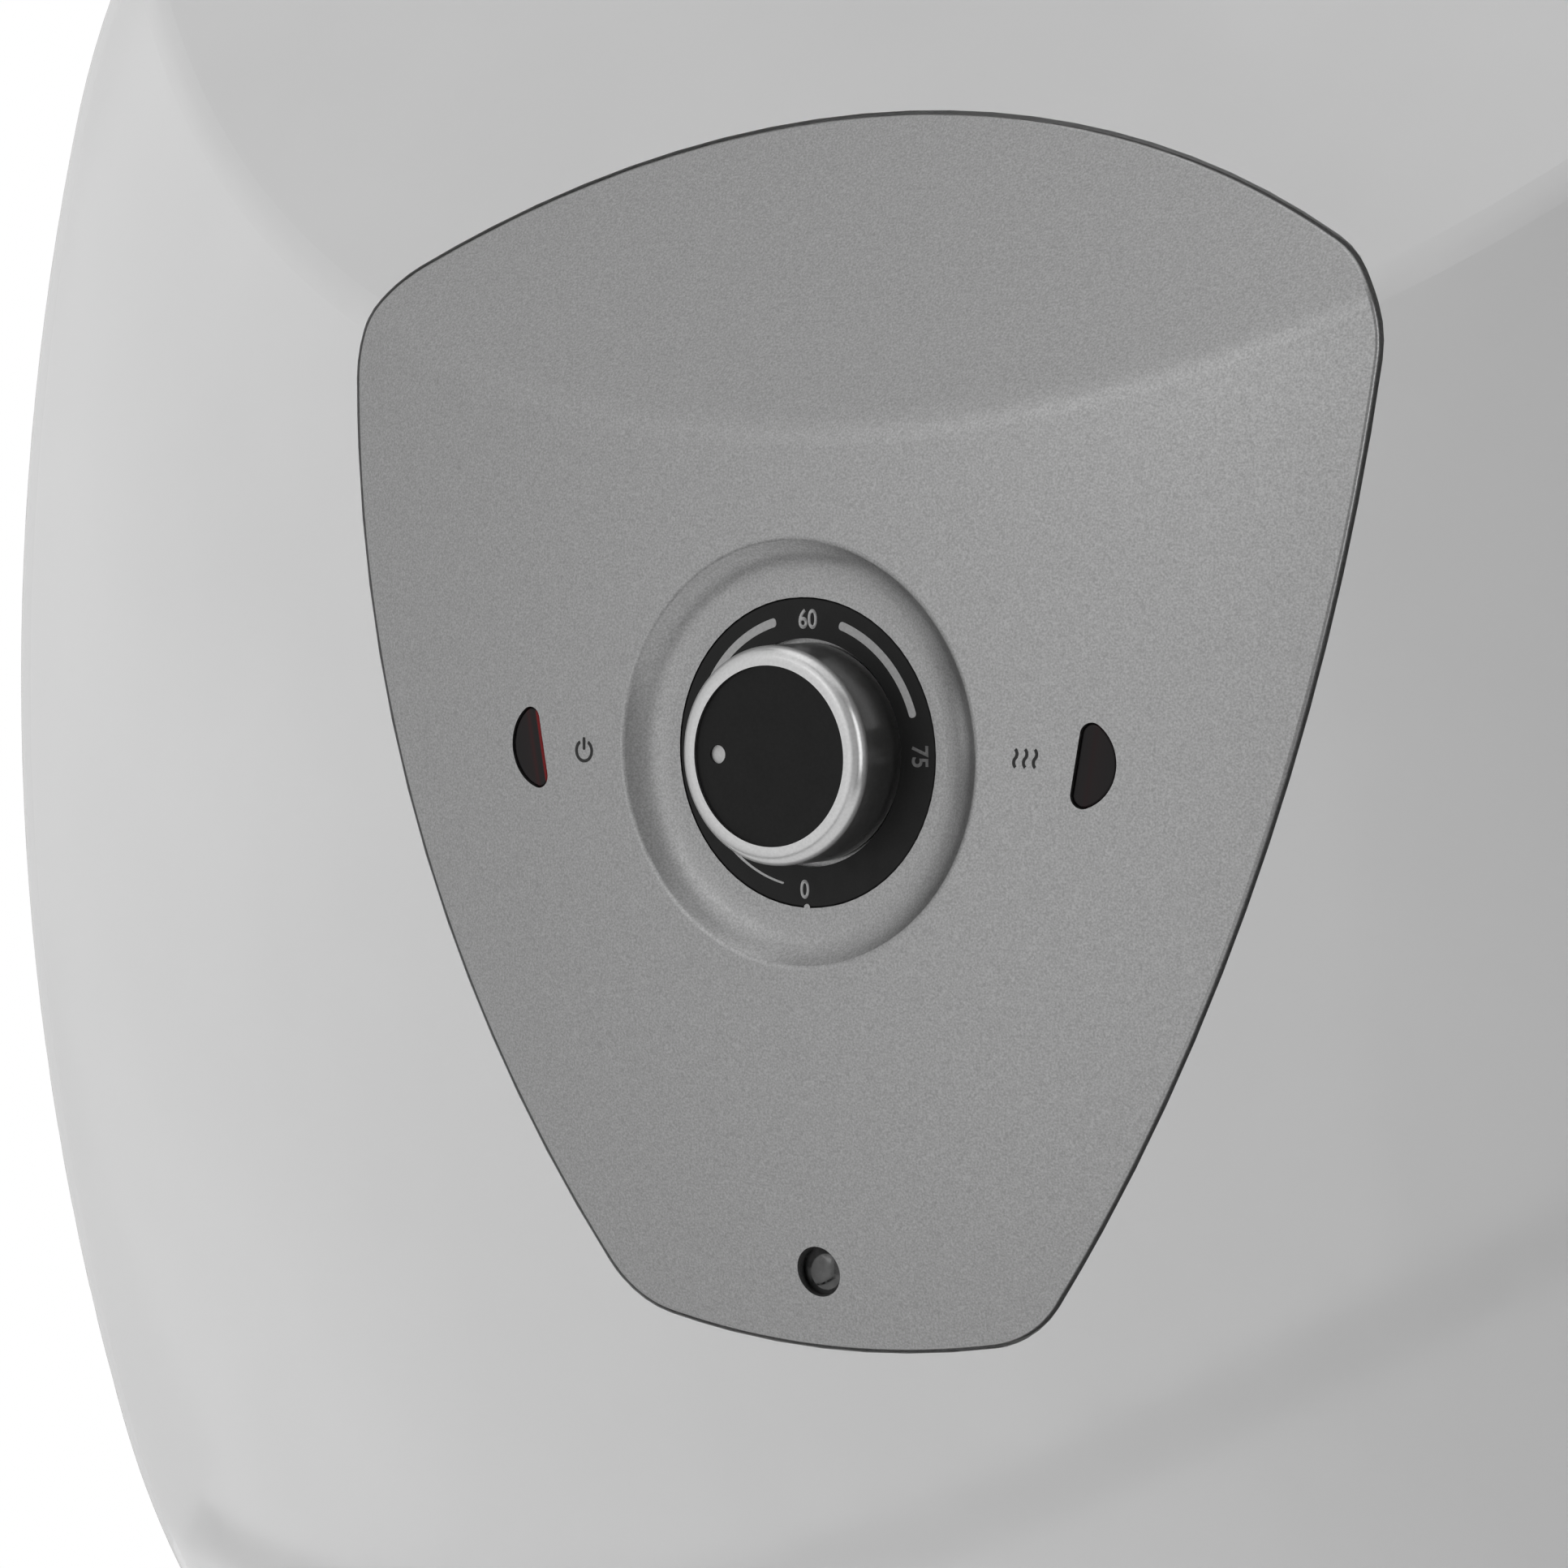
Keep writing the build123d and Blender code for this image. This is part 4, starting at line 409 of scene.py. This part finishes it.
SCALE_R = 22.6               # radius of the scale's middle line, millimetres
MARK_DEPTH = 0.03            # ink stands this far off the surface, millimetres
END_ROUNDING = 0.42          # rounding at an arc's ends, as a share of its width there
BAR_ROUNDING = 0.4           # and at a bar's ends
FIGURE_SHARE = 0.69          # a figure's height as a share of the font size
FIGURE_WEIGHT = 0.03         # how much the figures are fattened, as a share of their height
FIGURE_SQUEEZE = 0.86        # figures are a little narrower than the font's own
SYMBOL_LINE = 0.55           # line width of the power symbol, millimetres
WAVE_LINE = 0.52             # line width of a heat wave
WAVE_R = 1.05                # each wave is two quarter arcs of this radius, one over the other
WAVE_HALF = 0.74             # middle of each quarter arc's circle from the wave's middle
WAVE_STEP = 1.8              # from one wave to the next
grey_ink = ink("scale_grey_ink", "#B4B4B4", "#C2C2C2")
dim_ink = ink("scale_dim_ink", "#6E6E6E", "#7C7C7C")
black_ink = ink("label_black_ink", "#141414", "#1E1E1E")
for name, parts, place, finish in (
        ("scale_hot_arc", [ring_part(SCALE_R, 17.5, 73.5, 1.45, 1.45)], on_dial(), grey_ink),
        ("scale_warm_arc", [ring_part(SCALE_R, 192.5, 344.5, 0.35, 1.5)], on_dial(), grey_ink),
        ("scale_zero", [number_part("0", 3.0)], on_dial(-0.4, -22.95), grey_ink),
        ("scale_sixty", [number_part("60", 3.1)], on_dial(0.65, 22.45), grey_ink),
        ("scale_seventy_five", [number_part("75", 3.1)], on_dial(22.95, 0.0, 90), dim_ink)):
    print_mark(name, parts, place, finish)

power_parts = [ring_part(1.75, 32, 328, SYMBOL_LINE, SYMBOL_LINE), bar_part(SYMBOL_LINE, 2.2, (0.0, 1.25))]
print_mark("power_symbol", power_parts, on_dome(-44.6, -0.75), black_ink)
heat_parts = [ring_part(WAVE_R, start, start + 90, WAVE_LINE, WAVE_LINE,
                        (x - way * WAVE_HALF, way * WAVE_HALF))
              for x in (-WAVE_STEP, 0.0, WAVE_STEP)
              for start, way in ((45, 1), (225, -1))]
print_mark("heat_symbol", heat_parts, on_dome(45.05, 0.45), black_ink)


# ---- studio: distances in metres from the knob axis ----
LIGHT_SIDE = math.radians(-50)   # the soft light stands to the left of the front
LIGHT_AWAY = 2.0
OVERHEAD_UP = 2.2
FLOOR_Z = -0.75
CREASE_SHIFT = Vector((0.05, -0.02, 0))   # the crease light stands just in front of the soft light
# lower edge of the soft light, left to right, as metres along its plane and up
LIGHT_FOOT = ((-2.4, -0.95), (-2.05, -1.19), (-1.62, -1.36), (-1.14, -1.42), (0.0, -1.50), (0.7, -1.48),
              (1.4, -1.43))


def card(name, corners, finish):
    """Flat studio card through the given corners; not part of the heater."""
    mesh = bpy.data.meshes.new(name)
    mesh.from_pydata([tuple(c) for c in corners], [], [list(range(len(corners)))])
    piece = bpy.data.objects.new(name, mesh)
    bpy.context.collection.objects.link(piece)
    mesh.materials.append(finish)
    return piece


def on_light_plane(along, height):
    """Point on the soft light's plane: metres along it to the right, and up from the knob axis."""
    facing = Vector((math.sin(LIGHT_SIDE), -math.cos(LIGHT_SIDE), 0))
    across = Vector((math.cos(LIGHT_SIDE), math.sin(LIGHT_SIDE), 0))
    return DIAL + facing * LIGHT_AWAY + across * along + Vector((0, 0, height))


def glow(name, middle, left=None, right=None, upward=1.0):
    """Lit fabric that may be brighter at one side or higher up.

    left, middle and right are its strengths 2 m left, 0.2 m left and 2 m right of the world's origin,
    measured along the soft light's plane. They hold 0.8 m below the origin; 2.2 m above it they are
    upward times as strong.
    """
    finish = bpy.data.materials.new(name)
    finish.use_nodes = True
    tree = finish.node_tree
    tree.nodes.clear()
    left = middle if left is None else left
    right = middle if right is None else right
    place = add(tree, "TexCoord").outputs["Object"]
    turn = add(tree, "VectorRotate", {"Vector": place, "Angle": -LIGHT_SIDE}, rotation_type="Z_AXIS")
    axes = add(tree, "SeparateXYZ", {"Vector": turn.outputs["Vector"]}).outputs
    near = add(tree, "MapRange", {"Value": axes["X"], "From Min": -2.0, "From Max": -0.2,
                                  "To Min": left, "To Max": middle}).outputs["Result"]
    far = add(tree, "MapRange", {"Value": axes["X"], "From Min": -0.2, "From Max": 2.0,
                                 "To Min": 0.0, "To Max": right - middle}).outputs["Result"]
    across = add(tree, "Math", {0: near, 1: far}, operation="ADD").outputs["Value"]
    up = add(tree, "MapRange", {"Value": axes["Z"], "From Min": -0.8, "From Max": 2.2,
                                "To Min": 1.0, "To Max": upward}).outputs["Result"]
    level = add(tree, "Math", {0: across, 1: up}, operation="MULTIPLY").outputs["Value"]
    light = add(tree, "Emission", {"Strength": level})
    tree.links.new(light.outputs["Emission"], add(tree, "OutputMaterial").inputs["Surface"])
    return finish


def upright_card(name, turn, away, half_width, low, high, finish):
    """Upright studio card that faces the knob: turned to the right of the front by turn degrees."""
    out = Vector((math.sin(math.radians(turn)), -math.cos(math.radians(turn)), 0))
    side = Vector((-out.y, out.x, 0))
    foot = DIAL + out * away
    return card(name, [foot + side * a + Vector((0, 0, h)) for a, h in (
        (-half_width, low), (half_width, low), (half_width, high), (-half_width, high))], finish)


def cloth(name, colour):
    """Dull studio cloth or wall paint."""
    return new_finish(name, Base_Color=linear(colour), Roughness=1.0)[0]


black_felt = cloth("black_felt", "#050505")
soft_light = card("soft_light", [on_light_plane(a, h) for a, h in (
    *LIGHT_FOOT, (1.95, -1.38), (1.95, 2.88), (-2.4, 2.80))], glow("soft_light", 0.84, 0.87, 1.28, 1.04))
foot_gap = card("foot_gap", [on_light_plane(a, h) for a, h in (
    (-2.6, -0.9), (-2.6, -2.6), (3.1, -2.6), (3.1, -1.3), (2.9, -1.38), *reversed(LIGHT_FOOT))], black_felt)
crease_light = card("crease_light", [on_light_plane(a, h) + CREASE_SHIFT for a, h in (
    (0.2, 0.88), (1.0, 0.74), (1.9, 0.5), (1.9, 1.2), (1.0, 0.98), (0.2, 0.92))], glow("crease_light", 2.15))
top_flag = card("top_flag", [on_light_plane(a, h) for a, h in (
    (-2.6, 2.805), (2.9, 2.885), (2.9, 4.6), (-2.6, 4.6))], black_felt)
right_wall = upright_card("right_wall", 62, 2.4, 3.6, -1.2, 3.0, cloth("grey_wall", "#3C3C3C"))
right_strip = upright_card("right_strip", 74, 1.7, 0.4, -0.45, 1.3, glow("right_strip", 2.2))
right_fill = upright_card("right_fill", 28, 1.9, 0.75, -0.7, 1.7, glow("right_fill", 0.56))
side_light = upright_card("side_light", -110, 1.9, 0.75, -1.0, 2.6, glow("side_light", 0.62))
rear_wall = upright_card("rear_wall", -160, 2.3, 1.5, -1.2, 3.0, cloth("dark_wall", "#1C1C1C"))
overhead = card("overhead", [DIAL + Vector((x, y, OVERHEAD_UP)) for x, y in (
    (-1.3, -1.1), (-1.3, 0.2), (0.1, 0.2), (0.1, -1.5), (-0.7, -1.5))], glow("overhead", 1.5))
for piece in (soft_light, foot_gap, crease_light, top_flag, right_wall,
              right_strip, right_fill, side_light, rear_wall, overhead):
    piece.visible_camera = False
    piece.visible_shadow = False
# these two shape only the gleam on the metal finishes
for piece in (right_strip, right_fill):
    piece.visible_diffuse = False

pale, tree, shader = new_finish("pale_floor", Base_Color=linear("#EDEDED"), Roughness=0.8,
                                Emission_Color=linear("#FFFFFF"), Emission_Strength=0.2)
mirrored = add(tree, "LightPath").outputs["Is Glossy Ray"]
sheet = add(tree, "Emission", {"Color": linear("#FFFFFF"), "Strength": 1.0})
either = add(tree, "MixShader", {0: mirrored, 1: shader.outputs["BSDF"], 2: sheet.outputs["Emission"]})
tree.links.new(either.outputs["Shader"], tree.nodes["Material Output"].inputs["Surface"])
card("floor", [(x, y, FLOOR_Z) for x, y in (
    (-1.32, -0.215), (-1.133, -0.322), (-0.416, -0.945), (0.135, -1.61), (0.9, -2.5), (0.9, 0.75),
    (-1.32, 0.75))], pale)

world = bpy.data.worlds.new("white_studio")
bpy.context.scene.world = world
world.use_nodes = True
sky = world.node_tree
sky.nodes.clear()
path = add(sky, "LightPath").outputs
seen = add(sky, "Math", {0: path["Is Camera Ray"], 1: path["Is Glossy Ray"]}, operation="MAXIMUM")
seen = add(sky, "Math", {0: seen.outputs["Value"], 1: path["Is Transmission Ray"]}, operation="MAXIMUM")
fill = add(sky, "Background", {"Color": (1, 1, 1, 1), "Strength": 0.08})
white = add(sky, "Background", {"Color": (1, 1, 1, 1), "Strength": 1.0})
either = add(sky, "MixShader", {0: seen.outputs["Value"], 1: fill.outputs["Background"],
                                2: white.outputs["Background"]})
sky.links.new(either.outputs["Shader"], add(sky, "OutputWorld").inputs["Surface"])


# ---- camera ----
CAMERA_TURN = math.radians(35.0)     # to the right of the front
CAMERA_RISE = math.radians(3.8)      # above level
CAMERA_ROLL = math.radians(-0.48)
CAMERA_AWAY = 869.9 * MM             # from the dial
CAMERA_LEFT = 3.64 * MM              # the dial lies this far right of the view's middle
CAMERA_DOWN = 5.23 * MM              # and this far above it


def aim_camera():
    """Camera close enough for the control panel to fill most of the view."""
    turn, rise, roll = CAMERA_TURN, CAMERA_RISE, CAMERA_ROLL
    back = Vector((math.sin(turn) * math.cos(rise), -math.cos(turn) * math.cos(rise), math.sin(rise)))
    right = Vector((0, 0, 1)).cross(back).normalized()
    up = back.cross(right)
    right, up = math.cos(roll) * right + math.sin(roll) * up, math.cos(roll) * up - math.sin(roll) * right
    eye = DIAL - right * CAMERA_LEFT - up * CAMERA_DOWN + back * CAMERA_AWAY
    camera = bpy.data.objects.new("camera", bpy.data.cameras.new("camera"))
    camera.data.sensor_width = 36.0
    camera.data.lens = 119.25
    camera.data.clip_start = 0.05
    turned = Matrix((right, up, back)).transposed().to_4x4()
    camera.matrix_world = Matrix.Translation(eye) @ turned
    bpy.context.collection.objects.link(camera)
    bpy.context.scene.camera = camera


aim_camera()
bpy.context.scene.view_settings.view_transform = "Standard"
